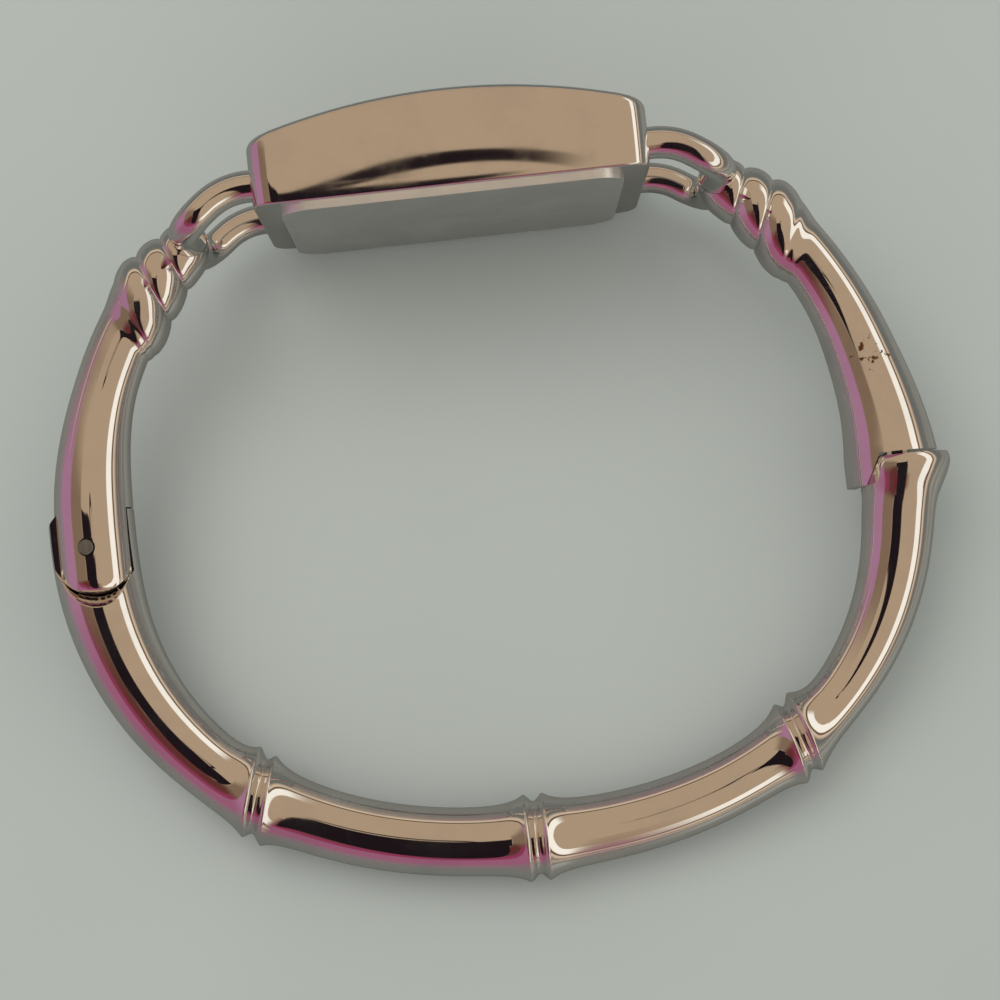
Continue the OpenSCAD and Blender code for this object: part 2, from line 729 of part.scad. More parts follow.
// Case block with the arched top, round rim and round upright corners
module case_block() {
  corner_x = case_len / 2 - end_round;
  corner_y = arch_y + sqrt(pow(arch_r - end_round, 2) - pow(corner_x, 2));
  meet_x = corner_x * arch_r / (arch_r - end_round);
  intersection() {
    translate([0, arch_y, 0])
      rotate_extrude($fn = 360)
        difference() {
          translate([arch_r - 16, -case_w / 2])
            square([16, case_w]);
          for (side = [-1, 1])
            translate([arch_r - bezel_round, side * (case_w / 2 - bezel_round)])
              difference() {
                translate([0, side > 0 ? 0 : -2])
                  square([2, 2]);
                circle(r = bezel_round);
              }
        }
    rounded_block(case_len, case_w, case_corner_r, back_t, 20);
    translate([0, 0, -big / 2])
      linear_extrude(height = big) {
        translate([-meet_x, -2])
          square([2 * meet_x, 30]);
        translate([-case_len / 2, -2])
          square([case_len, corner_y + 2]);
        for (side = [-1, 1])
          translate([side * corner_x, corner_y])
            circle(r = end_round);
      }
  }
}

// Gasket groove in the underside of the case
groove_in = 0.5;
groove_w = 0.5;
groove_depth = 0.5;
module ring_block(length, width, r, wall, from, to) {
  difference() {
    rounded_block(length, width, r, from, to);
    rounded_block(length - 2 * wall, width - 2 * wall, r - wall, from - 1, to + 1);
  }
}

tube_bore = stem_d / 2 + stem_fit;
tube_outer_r = 1.1;
tube_proud = 0.9;
module stem_cylinder(r, from, to) {
  translate([0, stem_h, -to])
    cylinder(h = to - from, r = r);
}

module case_middle() {
  seat_len = window_len + 2 * crystal_seat;
  seat_w = window_w + 2 * crystal_seat;
  color(metal)
    difference() {
      case_block();
      rounded_block(cavity_len, cavity_w, cavity_r, -1, dial_ledge);
      rounded_block(window_len, window_w, window_r, dial_ledge - 1, 20);
      intersection() {
        rounded_block(seat_len, seat_w, window_r + crystal_seat, dial_ledge, 20);
        arch_shell(arch_r - crystal_t, arch_r + 5);
      }
      ring_block(cavity_len + 2 * (groove_in + groove_w), cavity_w + 2 * (groove_in + groove_w),
        cavity_r + groove_in + groove_w, groove_w, back_t - 1, back_t + groove_depth);
      for (x = [0, 1], z = [-1, 1])
        mirror([x, 0, 0])
          translate([leg_from_x, leg_y, z * stirrup_span / 2])
            rotate([0, 90, 0])
              cylinder(h = 10, r = stirrup_d / 2 + seat_fit);
      stem_cylinder(tube_outer_r + seat_fit, cavity_w / 2 - 1, case_w / 2 + 1);
    }
}

module case_tube() {
  color(metal)
    difference() {
      stem_cylinder(tube_outer_r, cavity_w / 2, case_w / 2 + tube_proud);
      stem_cylinder(tube_bore, 0, case_w);
    }
}

back_len = case_len - 2 * back_end_inset;
back_w = case_w - 2 * back_side_inset;
back_corner_r = 2.4;
module case_back() {
  snap_len = cavity_len - 2 * snap_fit;
  snap_w = cavity_w - 2 * snap_fit;
  color("#b9b9b8") {
    rounded_block(back_len, back_w, back_corner_r, 0, back_t);
    ring_block(snap_len, snap_w, cavity_r, snap_t, back_t, back_t + snap_h);
  }
}

module back_gasket() {
  color(dark)
    ring_block(cavity_len + 2 * (groove_in + groove_w) - tiny, cavity_w + 2 * (groove_in + groove_w) - tiny,
      cavity_r + groove_in + groove_w, groove_w - tiny, back_t, back_t + groove_depth - tiny);
}

module crystal() {
  color("#cfe3ea", 0.4)
    intersection() {
      rounded_block(window_len + 2 * crystal_seat - 2 * crystal_gasket_t,
        window_w + 2 * crystal_seat - 2 * crystal_gasket_t,
        window_r + crystal_seat - crystal_gasket_t, 0, 20);
      arch_shell(arch_r - crystal_t, arch_r - tiny);
    }
}

module crystal_gasket() {
  color(dark)
    intersection() {
      ring_block(window_len + 2 * crystal_seat - tiny, window_w + 2 * crystal_seat - tiny,
        window_r + crystal_seat, crystal_gasket_t - tiny, 0, 20);
      arch_shell(arch_r - crystal_t, arch_r - 0.1);
    }
}

dial_hole_r = 0.85;
dial_under = dial_ledge - dial_t;
module dial() {
  color("#e9e6dc")
    difference() {
      rounded_block(cavity_len - 0.2, cavity_w - 0.2, cavity_r, dial_under, dial_ledge);
      post(0, 0, dial_hole_r, dial_under - 1, dial_ledge + 1);
    }
}

marker_t = 0.12;
module hour_markers() {
  half_x = window_len / 2 - marker_len;
  half_z = window_w / 2 - marker_len / 2 - 0.5;
  color(bright)
    for (hour = [0 : 11]) {
      a = 30 * hour;
      reach = min(half_x / max(0.001, abs(cos(a))), half_z / max(0.001, abs(sin(a))));
      rotate([0, a, 0])
        translate([reach - marker_len / 2, dial_ledge, -marker_w / 2])
          cube([marker_len, marker_t, marker_w]);
    }
}

// Motion work between the main plate and the dial
plate_top = stem_h + plate_t / 2;
plate_under = stem_h - plate_t / 2;
centre_post_r = 0.22;
minute_post_r = 0.18;
gear_t = 0.17;
gear_gap = 0.03;
cannon_teeth = 8;
minute_teeth = 24;
minute_pinion_teeth = 6;
hour_teeth = 24;
motion_distance = gear_module * (cannon_teeth + minute_teeth) / 2;
hour_module = 2 * motion_distance / (minute_pinion_teeth + hour_teeth);
motion_angle = 135;
motion_at = [motion_distance * cos(motion_angle), motion_distance * sin(motion_angle)];
lower_gear_y = plate_top + gear_gap;
upper_gear_y = lower_gear_y + gear_t + gear_gap;
cannon_r = 0.42;
cannon_top = 5.28;
hour_tube_r = 0.67;
hour_tube_top = 4.9;
hour_hand_y = 4.72;
minute_hand_y = 5.08;

// Toothed disc on Y, with a tooth or a gap at an angle in the XZ plane
module gear(teeth, pitch_module, at_angle, gap_there, bore_r, from) {
  step = 360 / teeth;
  root = pitch_module * (teeth / 2 - 1.15);
  tip = pitch_module * (teeth / 2 + 0.85);
  turn = at_angle + (gap_there ? step / 2 : 0);
  translate([0, from + gear_t, 0])
    rotate([90, 0, 0])
      linear_extrude(height = gear_t)
        difference() {
          polygon([for (i = [0 : teeth - 1], q = [[-0.29, root], [-0.12, tip], [0.12, tip], [0.29, root]])
            let (a = turn + (i + q[0]) * step)
            [q[1] * cos(a), q[1] * sin(a)]]);
          circle(r = bore_r);
        }
}

module cannon_pinion() {
  color(brass)
    difference() {
      union() {
        gear(cannon_teeth, gear_module, motion_angle, false, centre_post_r + gear_gap, lower_gear_y);
        post(0, 0, cannon_r, lower_gear_y, cannon_top);
      }
      post(0, 0, centre_post_r + gear_gap, 0, cannon_top + 1);
    }
}

module hour_wheel() {
  color(brass)
    difference() {
      union() {
        gear(hour_teeth, hour_module, motion_angle, true, cannon_r, upper_gear_y);
        post(0, 0, hour_tube_r, upper_gear_y, hour_tube_top);
      }
      post(0, 0, cannon_r + gear_gap, 0, hour_tube_top + 1);
    }
}

module minute_wheel() {
  bore = minute_post_r + gear_gap;
  color(brass)
    translate([motion_at[0], 0, motion_at[1]]) {
      gear(minute_teeth, gear_module, motion_angle + 180, true, bore, lower_gear_y);
      gear(minute_pinion_teeth, hour_module, motion_angle + 180, false, bore, upper_gear_y);
      difference() {
        post(0, 0, minute_pinion_teeth * hour_module / 3.4, lower_gear_y + gear_t, upper_gear_y);
        post(0, 0, bore, 0, upper_gear_y + 1);
      }
    }
}

// Tapered hand along +X with a round boss and a short tail
module hand(length, boss_r, hole_r, y) {
  tail = 1.3;
  tip_w = 0.16;
  half_w = 0.33;
  color(bright)
    translate([0, y + hand_t, 0])
      rotate([90, 0, 0])
        linear_extrude(height = hand_t)
          difference() {
            union() {
              circle(r = boss_r);
              polygon([[-tail, -half_w], [length * 0.8, -half_w], [length, -tip_w / 2],
                [length, tip_w / 2], [length * 0.8, half_w], [-tail, half_w]]);
            }
            circle(r = hole_r);
          }
}

hour_hand_angle = 60;
minute_hand_angle = -60;
module hour_hand() {
  rotate([0, hour_hand_angle, 0])
    hand(hour_len, 1, hour_tube_r + seat_fit, hour_hand_y);
}

module minute_hand() {
  rotate([0, minute_hand_angle, 0])
    hand(minute_len, 0.75, cannon_r + seat_fit, minute_hand_y);
}

// Movement: main plate, board, coil, quartz can, bridge and cell
pinion_r = 0.65;
pinion_from = 3.3;
pinion_len = 1;
square_w = 0.5;
channel_end = pinion_from - 0.1;
pilot_r = 0.2;
pilot_from = 1.9;
pilot_fit = 0.04;
module main_plate() {
  color("#b8b4a8") {
    difference() {
      rounded_block(movement_len, movement_w, 1.6, plate_under, plate_top);
      translate([-pinion_r - 0.1, plate_under - 1, -movement_w])
        cube([2 * pinion_r + 0.2, plate_t + 2, movement_w - channel_end]);
      stem_cylinder(pilot_r + pilot_fit, pilot_from - 0.1, channel_end + 1);
    }
    post(0, 0, centre_post_r, plate_top - tiny, cannon_top - 0.1);
    post(motion_at[0], motion_at[1], minute_post_r, plate_top - tiny, upper_gear_y + gear_t);
  }
}

holder_fit = 0.05;
module movement_holder() {
  step = 0.5;
  from = back_t + snap_h;
  color("#f0efe9")
    difference() {
      rounded_block(cavity_len - 2 * holder_fit, cavity_w - 2 * holder_fit, cavity_r, from, dial_under);
      rounded_block(movement_len + 2 * holder_fit, movement_w + 2 * holder_fit, 1.65, from - 1, plate_top);
      rounded_block(movement_len - 2 * step, movement_w - 2 * step, 1.2, from - 1, dial_under + 1);
      stem_cylinder(stem_d / 2 + 0.15, movement_w / 2 - 1.2, cavity_w);
    }
}

board_t = 0.3;
board_under = plate_under - board_t;
board_inset = 0.5;
stem_notch_w = 3;
module circuit_board() {
  color("#3f6b4d")
    difference() {
      translate([-movement_len / 2 + board_inset, board_under, -movement_w / 2 + board_inset])
        cube([movement_len / 2 - 0.3, board_t, movement_w - 2 * board_inset]);
      translate([-pinion_r - 0.2, board_under - 1, -movement_w])
        cube([stem_notch_w, board_t + 2, movement_w - channel_end + 0.3]);
    }
}

coil_x = -6.2;
coil_drop = 0.7;
block_len = 1.2;
block_h = 0.9;
block_w = 0.8;
module coil() {
  coil_r = 0.68;
  coil_half = 3.1;
  color("#b4693a") {
    translate([coil_x, board_under - coil_drop, -coil_half])
      cylinder(h = 2 * coil_half, r = coil_r);
    for (side = [-1, 1])
      translate([coil_x - block_len / 2, board_under - block_h, side * (coil_half + 0.3) - block_w / 2])
        cube([block_len, block_h, block_w]);
  }
}

module quartz_can() {
  can_r = 0.55;
  color(bright) {
    translate([-4.6, board_under - can_r - 0.05, 4.6])
      rotate([0, 90, 0])
        cylinder(h = 3.4, r = can_r);
    translate([-1.4, board_under - 0.6, 4.3])
      cube([0.5, 0.6, 0.6]);
  }
}

bridge_t = 0.3;
bridge_pillars = [[-4.2, -1.1], [-0.9, 2.6]];
bridge_top = board_under - 0.6;
screw_r = 0.22;
module train_bridge() {
  color("#b8b4a8")
    difference() {
      union() {
        translate([-4.9, bridge_top - bridge_t, -1.8])
          cube([4.5, bridge_t, 5.1]);
        for (p = bridge_pillars)
          post(p[0], p[1], 0.5, bridge_top - tiny, board_under);
      }
      for (p = bridge_pillars)
        post(p[0], p[1], screw_r + seat_fit, 0, board_under + 1);
    }
}

module bridge_screws() {
  color(bright)
    for (p = bridge_pillars) {
      post(p[0], p[1], screw_r, bridge_top - bridge_t - tiny, board_under - tiny);
      post(p[0], p[1], 0.42, bridge_top - bridge_t - 0.18, bridge_top - bridge_t);
    }
}

battery_at = [movement_len / 2 - battery_d / 2 - 0.25, 1.3];
module battery() {
  color(bright) {
    post(battery_at[0], battery_at[1], battery_d / 2, plate_under - battery_t + 0.25, plate_under);
    post(battery_at[0], battery_at[1], battery_d / 2 - 0.4, plate_under - battery_t,
      plate_under - battery_t + 0.3);
  }
}

module battery_strap() {
  strap_t = 0.1;
  strap_y = plate_under - battery_t - strap_t;
  foot_x = -0.35;
  color("#c7b37a") {
    translate([foot_x, strap_y, battery_at[1] - 0.7])
      cube([battery_at[0] - foot_x + 1.5, strap_t, 1.4]);
    translate([foot_x, strap_y, battery_at[1] - 0.7])
      cube([0.25, board_under - strap_y, 1.4]);
  }
}

// Winding stem: a round shank, a neck for the setting lever, a square in the clutch pinion and a round pilot
crown_from = case_w / 2 + crown_gap;
crown_cup = 1.2;
module stem() {
  shank_from = pinion_from + pinion_len + 0.3;
  color("#a9a9ab")
    difference() {
      union() {
        stem_cylinder(stem_d / 2, shank_from, crown_from + crown_cup + 0.7);
        translate([-square_w / 2, stem_h - square_w / 2, -shank_from - tiny])
          cube([square_w, square_w, shank_from - pinion_from + 0.05]);
        stem_cylinder(pilot_r, pilot_from, pinion_from + tiny);
      }
      difference() {
        stem_cylinder(stem_d, shank_from + 0.5, shank_from + 0.9);
        stem_cylinder(stem_d / 2 - 0.15, 0, case_w);
      }
    }
}

module clutch_pinion() {
  hole = square_w + 0.06;
  step = 360 / 12;
  color("#a9a9ab")
    translate([0, stem_h, -pinion_from - pinion_len])
      linear_extrude(height = pinion_len)
        difference() {
          polygon([for (i = [0 : 11], q = [[-0.3, 0.5], [-0.14, pinion_r], [0.14, pinion_r], [0.3, 0.5]])
            let (a = (i + q[0]) * step)
            [q[1] * cos(a), q[1] * sin(a)]]);
          square(hole, center = true);
        }
}

module crown() {
  dome = 0.35;
  flute_r = 0.16;
  top = crown_from + crown_h;
  color(metal)
    difference() {
      union() {
        stem_cylinder(crown_d / 2, crown_from, top - dome);
        translate([0, stem_h, -top])
          cylinder(h = dome, r1 = crown_d / 2 - 0.45, r2 = crown_d / 2);
      }
      stem_cylinder(tube_outer_r + 0.25, crown_from - 1, crown_from + crown_cup);
      stem_cylinder(stem_d / 2 + seat_fit, crown_from, crown_from + crown_cup + 0.7);
      for (i = [0 : crown_flutes - 1])
        translate([0, stem_h, 0])
          rotate([0, 0, 360 * i / crown_flutes])
            translate([crown_d / 2 + 0.05, 0, -top - 1])
              cylinder(h = crown_h - 0.4 + 1, r = flute_r);
    }
}

module crown_gasket() {
  color(dark)
    difference() {
      stem_cylinder(tube_outer_r + 0.25 - seat_fit, crown_from + 0.1, crown_from + 0.5);
      stem_cylinder(tube_outer_r + 0.03, 0, case_w);
    }
}

case_middle();
case_back();
back_gasket();
crystal();
crystal_gasket();
dial();
hour_markers();
hour_hand();
minute_hand();
hour_wheel();
cannon_pinion();
minute_wheel();
main_plate();
movement_holder();
circuit_board();
coil();
quartz_can();
train_bridge();
bridge_screws();
battery();
battery_strap();
case_tube();
clutch_pinion();
stem();
crown();
crown_gasket();
left_stirrup();
right_stirrup();
left_arm();
right_arm();
lower_bangle();
hinge_pin();
clasp_tongue();
clasp_rivet();
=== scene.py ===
import json
import logging
import math
from dataclasses import dataclass, field
from enum import Enum
from typing import Callable, Sequence

import bpy
from mathutils import Matrix, Vector


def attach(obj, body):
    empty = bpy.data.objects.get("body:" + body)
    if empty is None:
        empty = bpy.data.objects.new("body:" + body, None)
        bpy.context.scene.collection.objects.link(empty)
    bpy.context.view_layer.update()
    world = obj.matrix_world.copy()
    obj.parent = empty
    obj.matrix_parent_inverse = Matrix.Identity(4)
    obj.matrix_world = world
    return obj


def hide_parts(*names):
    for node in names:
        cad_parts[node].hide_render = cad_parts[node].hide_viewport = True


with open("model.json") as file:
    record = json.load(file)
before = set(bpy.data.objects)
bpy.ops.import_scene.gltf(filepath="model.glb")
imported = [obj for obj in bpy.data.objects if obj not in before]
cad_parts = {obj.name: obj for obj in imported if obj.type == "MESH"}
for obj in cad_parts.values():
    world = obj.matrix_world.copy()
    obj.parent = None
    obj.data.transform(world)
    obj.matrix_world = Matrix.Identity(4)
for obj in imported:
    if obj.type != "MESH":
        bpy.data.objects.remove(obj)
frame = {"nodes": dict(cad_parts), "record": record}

log = logging.getLogger("bracelet_watch")
MM = 0.001
Colour = tuple[float, float, float]
Flat = tuple[float, float]
Place = tuple[float, float, float]
Sector = tuple[float, float, float]
Piece = bpy.types.Object
Socket = bpy.types.NodeSocket
Node = bpy.types.Node
Sockets = bpy.types.bpy_prop_collection
Tree = bpy.types.NodeTree
Material = bpy.types.Material


# ---------------------------------------------------------------- plain maths


def smooth_step(t: float) -> float:
    """Smooth 0 to 1 ramp, flat at both ends."""
    u = min(1.0, max(0.0, t))
    return u * u * (3 - 2 * u)


def dimmed(colour: Colour, factor: float) -> Colour:
    """Colour made darker by a factor."""
    return tuple(factor * c for c in colour)


def oval_point(angle: float, a: float, b: float, fullness: float) -> Flat:
    """Point of a superellipse.

    Args:
        angle: Its angle in degrees.
        a: Half width.
        b: Half height.
        fullness: 2 for an ellipse, more for a squarer curve.

    Returns:
        The point's x and y.
    """
    c, s = math.cos(math.radians(angle)), math.sin(math.radians(angle))
    power = 2 / fullness
    return a * math.copysign(abs(c) ** power, c), b * math.copysign(abs(s) ** power, s)


class Route:
    """Polyline that is read by its running length."""

    def __init__(self, points: Sequence[Flat]) -> None:
        """Measures the polyline.

        Args:
            points: Its points in order, in millimetres.
        """
        self.points = list(points)
        self.runs = [0.0]
        for p, q in zip(self.points, self.points[1:]):
            self.runs.append(self.runs[-1] + math.dist(p, q))
        self.total = self.runs[-1]

    def at(self, s: float) -> Flat:
        """Point at the running length s, held at the two ends.

        Args:
            s: Running length in millimetres.

        Returns:
            The point's x and y.
        """
        s = min(max(s, 0.0), self.total)
        low, high = 0, len(self.runs) - 1
        while high - low > 1:
            middle = (low + high) // 2
            if self.runs[middle] <= s:
                low = middle
            else:
                high = middle
        span = self.runs[high] - self.runs[low] or 1.0
        t = (s - self.runs[low]) / span
        p, q = self.points[low], self.points[high]
        return p[0] + (q[0] - p[0]) * t, p[1] + (q[1] - p[1]) * t

    def slope(self, s: float) -> float:
        """Direction at s, in degrees."""
        p, q = self.at(s - 0.3), self.at(s + 0.3)
        return math.degrees(math.atan2(q[1] - p[1], q[0] - p[0]))

    def run_at_x(self, x: float) -> float:
        """Running length where the route first passes a given x.

        Args:
            x: The x in millimetres.

        Returns:
            The running length there.
        """
        for i, (p, q) in enumerate(zip(self.points, self.points[1:])):
            if min(p[0], q[0]) <= x <= max(p[0], q[0]) and p[0] != q[0]:
                return self.runs[i] + (x - p[0]) / (q[0] - p[0]) * (self.runs[i + 1] - self.runs[i])
        raise ValueError(f"the route never passes x = {x}")


# ---------------------------------------------------------------- mesh helpers


def deselect() -> None:
    """Leaves edit mode and clears the selection."""
    if bpy.context.object and bpy.context.object.mode != "OBJECT":
        bpy.ops.object.mode_set(mode="OBJECT")
    bpy.ops.object.select_all(action="DESELECT")


def mode(name: str) -> None:
    """Switches the active piece to EDIT or OBJECT mode."""
    bpy.ops.object.mode_set(mode=name)


def mark(action: str) -> None:
    """Selects or deselects everything in edit mode."""
    bpy.ops.mesh.select_all(action=action)


def activate(piece: Piece) -> None:
    """Makes a piece the only selected and active one.

    Args:
        piece: The piece.
    """
    deselect()
    piece.select_set(True)
    bpy.context.view_layer.objects.active = piece


def settle(piece: Piece) -> Piece:
    """Puts a piece's place, turn and size into its mesh.

    Args:
        piece: The piece.

    Returns:
        The same piece.
    """
    activate(piece)
    bpy.ops.object.transform_apply(location=True, rotation=True, scale=True)
    return piece


def box(low: Sequence[float], high: Sequence[float]) -> Piece:
    """Block between two corners, given in millimetres.

    Args:
        low: Its lowest corner.
        high: Its highest corner.

    Returns:
        The block.
    """
    deselect()
    centre = [(a + b) / 2 * MM for a, b in zip(low, high)]
    bpy.ops.mesh.primitive_cube_add(size=1, location=centre)
    block = bpy.context.object
    block.scale = [(b - a) * MM for a, b in zip(low, high)]
    return settle(block)


def rod(at: Sequence[float], radius: float, depth: float, axis: str = "Z", end_radius: float | None = None,
        vertices: int = 96) -> Piece:
    """Round rod or cone centred on a point.

    Args:
        at: Its centre in millimetres.
        radius: Its radius, or that of its lower end.
        depth: Its length along the axis.
        axis: X, Y or Z.
        end_radius: The radius of its upper end, where that differs.
        vertices: Number of sides.

    Returns:
        The new object.
    """
    deselect()
    turn = {"X": (0, math.pi / 2, 0), "Y": (-math.pi / 2, 0, 0), "Z": (0, 0, 0)}[axis]
    top = radius if end_radius is None else end_radius
    bpy.ops.mesh.primitive_cone_add(vertices=vertices, radius1=radius * MM, radius2=top * MM,
                                    depth=depth * MM, location=[c * MM for c in at], rotation=turn)
    return settle(bpy.context.object)


def modified(piece: Piece, kind: str, **settings: object) -> Piece:
    """Applies one modifier.

    Args:
        piece: The piece that is changed.
        kind: The modifier's type.
        **settings: The modifier's properties.

    Returns:
        The same piece.
    """
    modifier = piece.modifiers.new(kind.lower(), kind)
    for key, value in settings.items():
        setattr(modifier, key, value)
    activate(piece)
    bpy.ops.object.modifier_apply(modifier=modifier.name)
    return piece


def combine(piece: Piece, cutter: Piece, operation: str = "DIFFERENCE") -> Piece:
    """Applies a boolean with a second object and deletes that object.

    Args:
        piece: The piece that is changed.
        cutter: The second object.
        operation: DIFFERENCE, UNION or INTERSECT.

    Returns:
        The same piece.
    """
    modified(piece, "BOOLEAN", operation=operation, object=cutter, solver="EXACT")
    bpy.data.objects.remove(cutter, do_unlink=True)
    return piece


def soften(piece: Piece) -> Piece:
    """Subdivides a piece smoothly, once."""
    return modified(piece, "SUBSURF", levels=1, render_levels=1)


def extrude(x: float, y: float, z: float = 0.0) -> None:
    """Extrudes the selection by a step in metres."""
    bpy.ops.mesh.extrude_region_move(TRANSFORM_OT_translate={"value": (x, y, z)})


def mirror_x() -> None:
    """Mirrors the selected pieces to the other side of the watch."""
    bpy.ops.transform.mirror(constraint_axis=(True, False, False), center_override=(0, 0, 0))


def face_outwards(piece: Piece) -> Piece:
    """Merges doubles and turns all faces outwards.

    Args:
        piece: The piece.

    Returns:
        The same piece.
    """
    activate(piece)
    mode("EDIT")
    mark("SELECT")
    bpy.ops.mesh.remove_doubles(threshold=1e-7)
    bpy.ops.mesh.normals_make_consistent(inside=False)
    mode("OBJECT")
    return piece


CURSOR_PLACES: tuple[Place, ...] = ((0.113, 0.047, 0.083), (-0.091, 0.067, 0.107), (0.029, -0.127, 0.061))


def put_in_order(piece: Piece) -> Piece:
    """Files vertices, edges and faces by their place, because extruding leaves them in a chance order.

    Each round sorts by the distance from the cursor and keeps the order of what is equally far, so that
    three cursor places off every plane of symmetry leave no ties.

    Args:
        piece: The piece.

    Returns:
        The same piece.
    """
    cursor = bpy.context.scene.cursor
    activate(piece)
    mode("EDIT")
    mark("SELECT")
    for place in CURSOR_PLACES:
        cursor.location = place
        bpy.ops.mesh.sort_elements(type="CURSOR_DISTANCE", elements={"VERT", "EDGE", "FACE"})
    cursor.location = (0, 0, 0)
    mode("OBJECT")
    return piece


@dataclass(frozen=True)
class Ring:
    """One round section of a tube: its centre, the turn of its plane, its lean and its radius."""

    x: float
    y: float
    slope: float
    skew: float
    radius: float

    @property
    def normal(self) -> float:
        """Angle of the section's normal in degrees."""
        return self.slope - self.skew

    @property
    def stretch(self) -> float:
        """Factor by which the leaning section is widened in the plane of the route."""
        return 1 / math.cos(math.radians(self.skew))


def sweep(name: str, rings: Sequence[Ring], sides: int = 40) -> Piece:
    """Draws a tube by extruding a disc from section to section.

    Args:
        name: Name of the new object.
        rings: Sections in order.
        sides: Number of sides of the disc.

    Returns:
        The closed tube.
    """
    first = rings[0]
    deselect()
    bpy.ops.mesh.primitive_circle_add(vertices=sides, radius=first.radius * MM, fill_type="NGON",
                                      location=(first.x * MM, first.y * MM, 0), rotation=(0, math.pi / 2, 0))
    tube = settle(bpy.context.object)
    tube.name = name
    mode("EDIT")
    mark("SELECT")
    previous = Ring(first.x, first.y, 0, 0, first.radius)
    for i, ring in enumerate(rings):
        if i:
            extrude((ring.x - previous.x) * MM, (ring.y - previous.y) * MM)
        centre = (ring.x * MM, ring.y * MM, 0)
        bpy.ops.transform.rotate(value=-math.radians(ring.normal - previous.normal), orient_axis="Z",
                                 center_override=centre)
        scale = ring.radius / previous.radius
        bpy.ops.transform.resize(value=(scale, scale * ring.stretch / previous.stretch, scale),
                                 orient_matrix=Matrix.Rotation(math.radians(ring.normal), 3, "Z"),
                                 orient_type="GLOBAL", orient_matrix_type="GLOBAL", center_override=centre)
        previous = ring
    mode("OBJECT")
    return put_in_order(face_outwards(tube))


# ---------------------------------------------------------------- shader groups


def new_group(name: str, inputs: dict[str, float],
              outputs: Sequence[str]) -> tuple["Wiring", Sockets, Sockets]:
    """Starts a shader node group.

    Args:
        name: Its name.
        inputs: Named inputs with their default values, besides the Vector that every group has.
        outputs: Names of its outputs, all plain values.

    Returns:
        Its wiring, the sockets that give its inputs and the sockets that take its outputs.
    """
    group = bpy.data.node_groups.new(name, "ShaderNodeTree")
    group.interface.new_socket("Vector", in_out="INPUT", socket_type="NodeSocketVector")
    for key, value in inputs.items():
        socket = group.interface.new_socket(key, in_out="INPUT", socket_type="NodeSocketFloat")
        socket.default_value = value
    for key in outputs:
        group.interface.new_socket(key, in_out="OUTPUT", socket_type="NodeSocketFloat")
    given = group.nodes.new("NodeGroupInput").outputs
    return Wiring(group), given, group.nodes.new("NodeGroupOutput").inputs


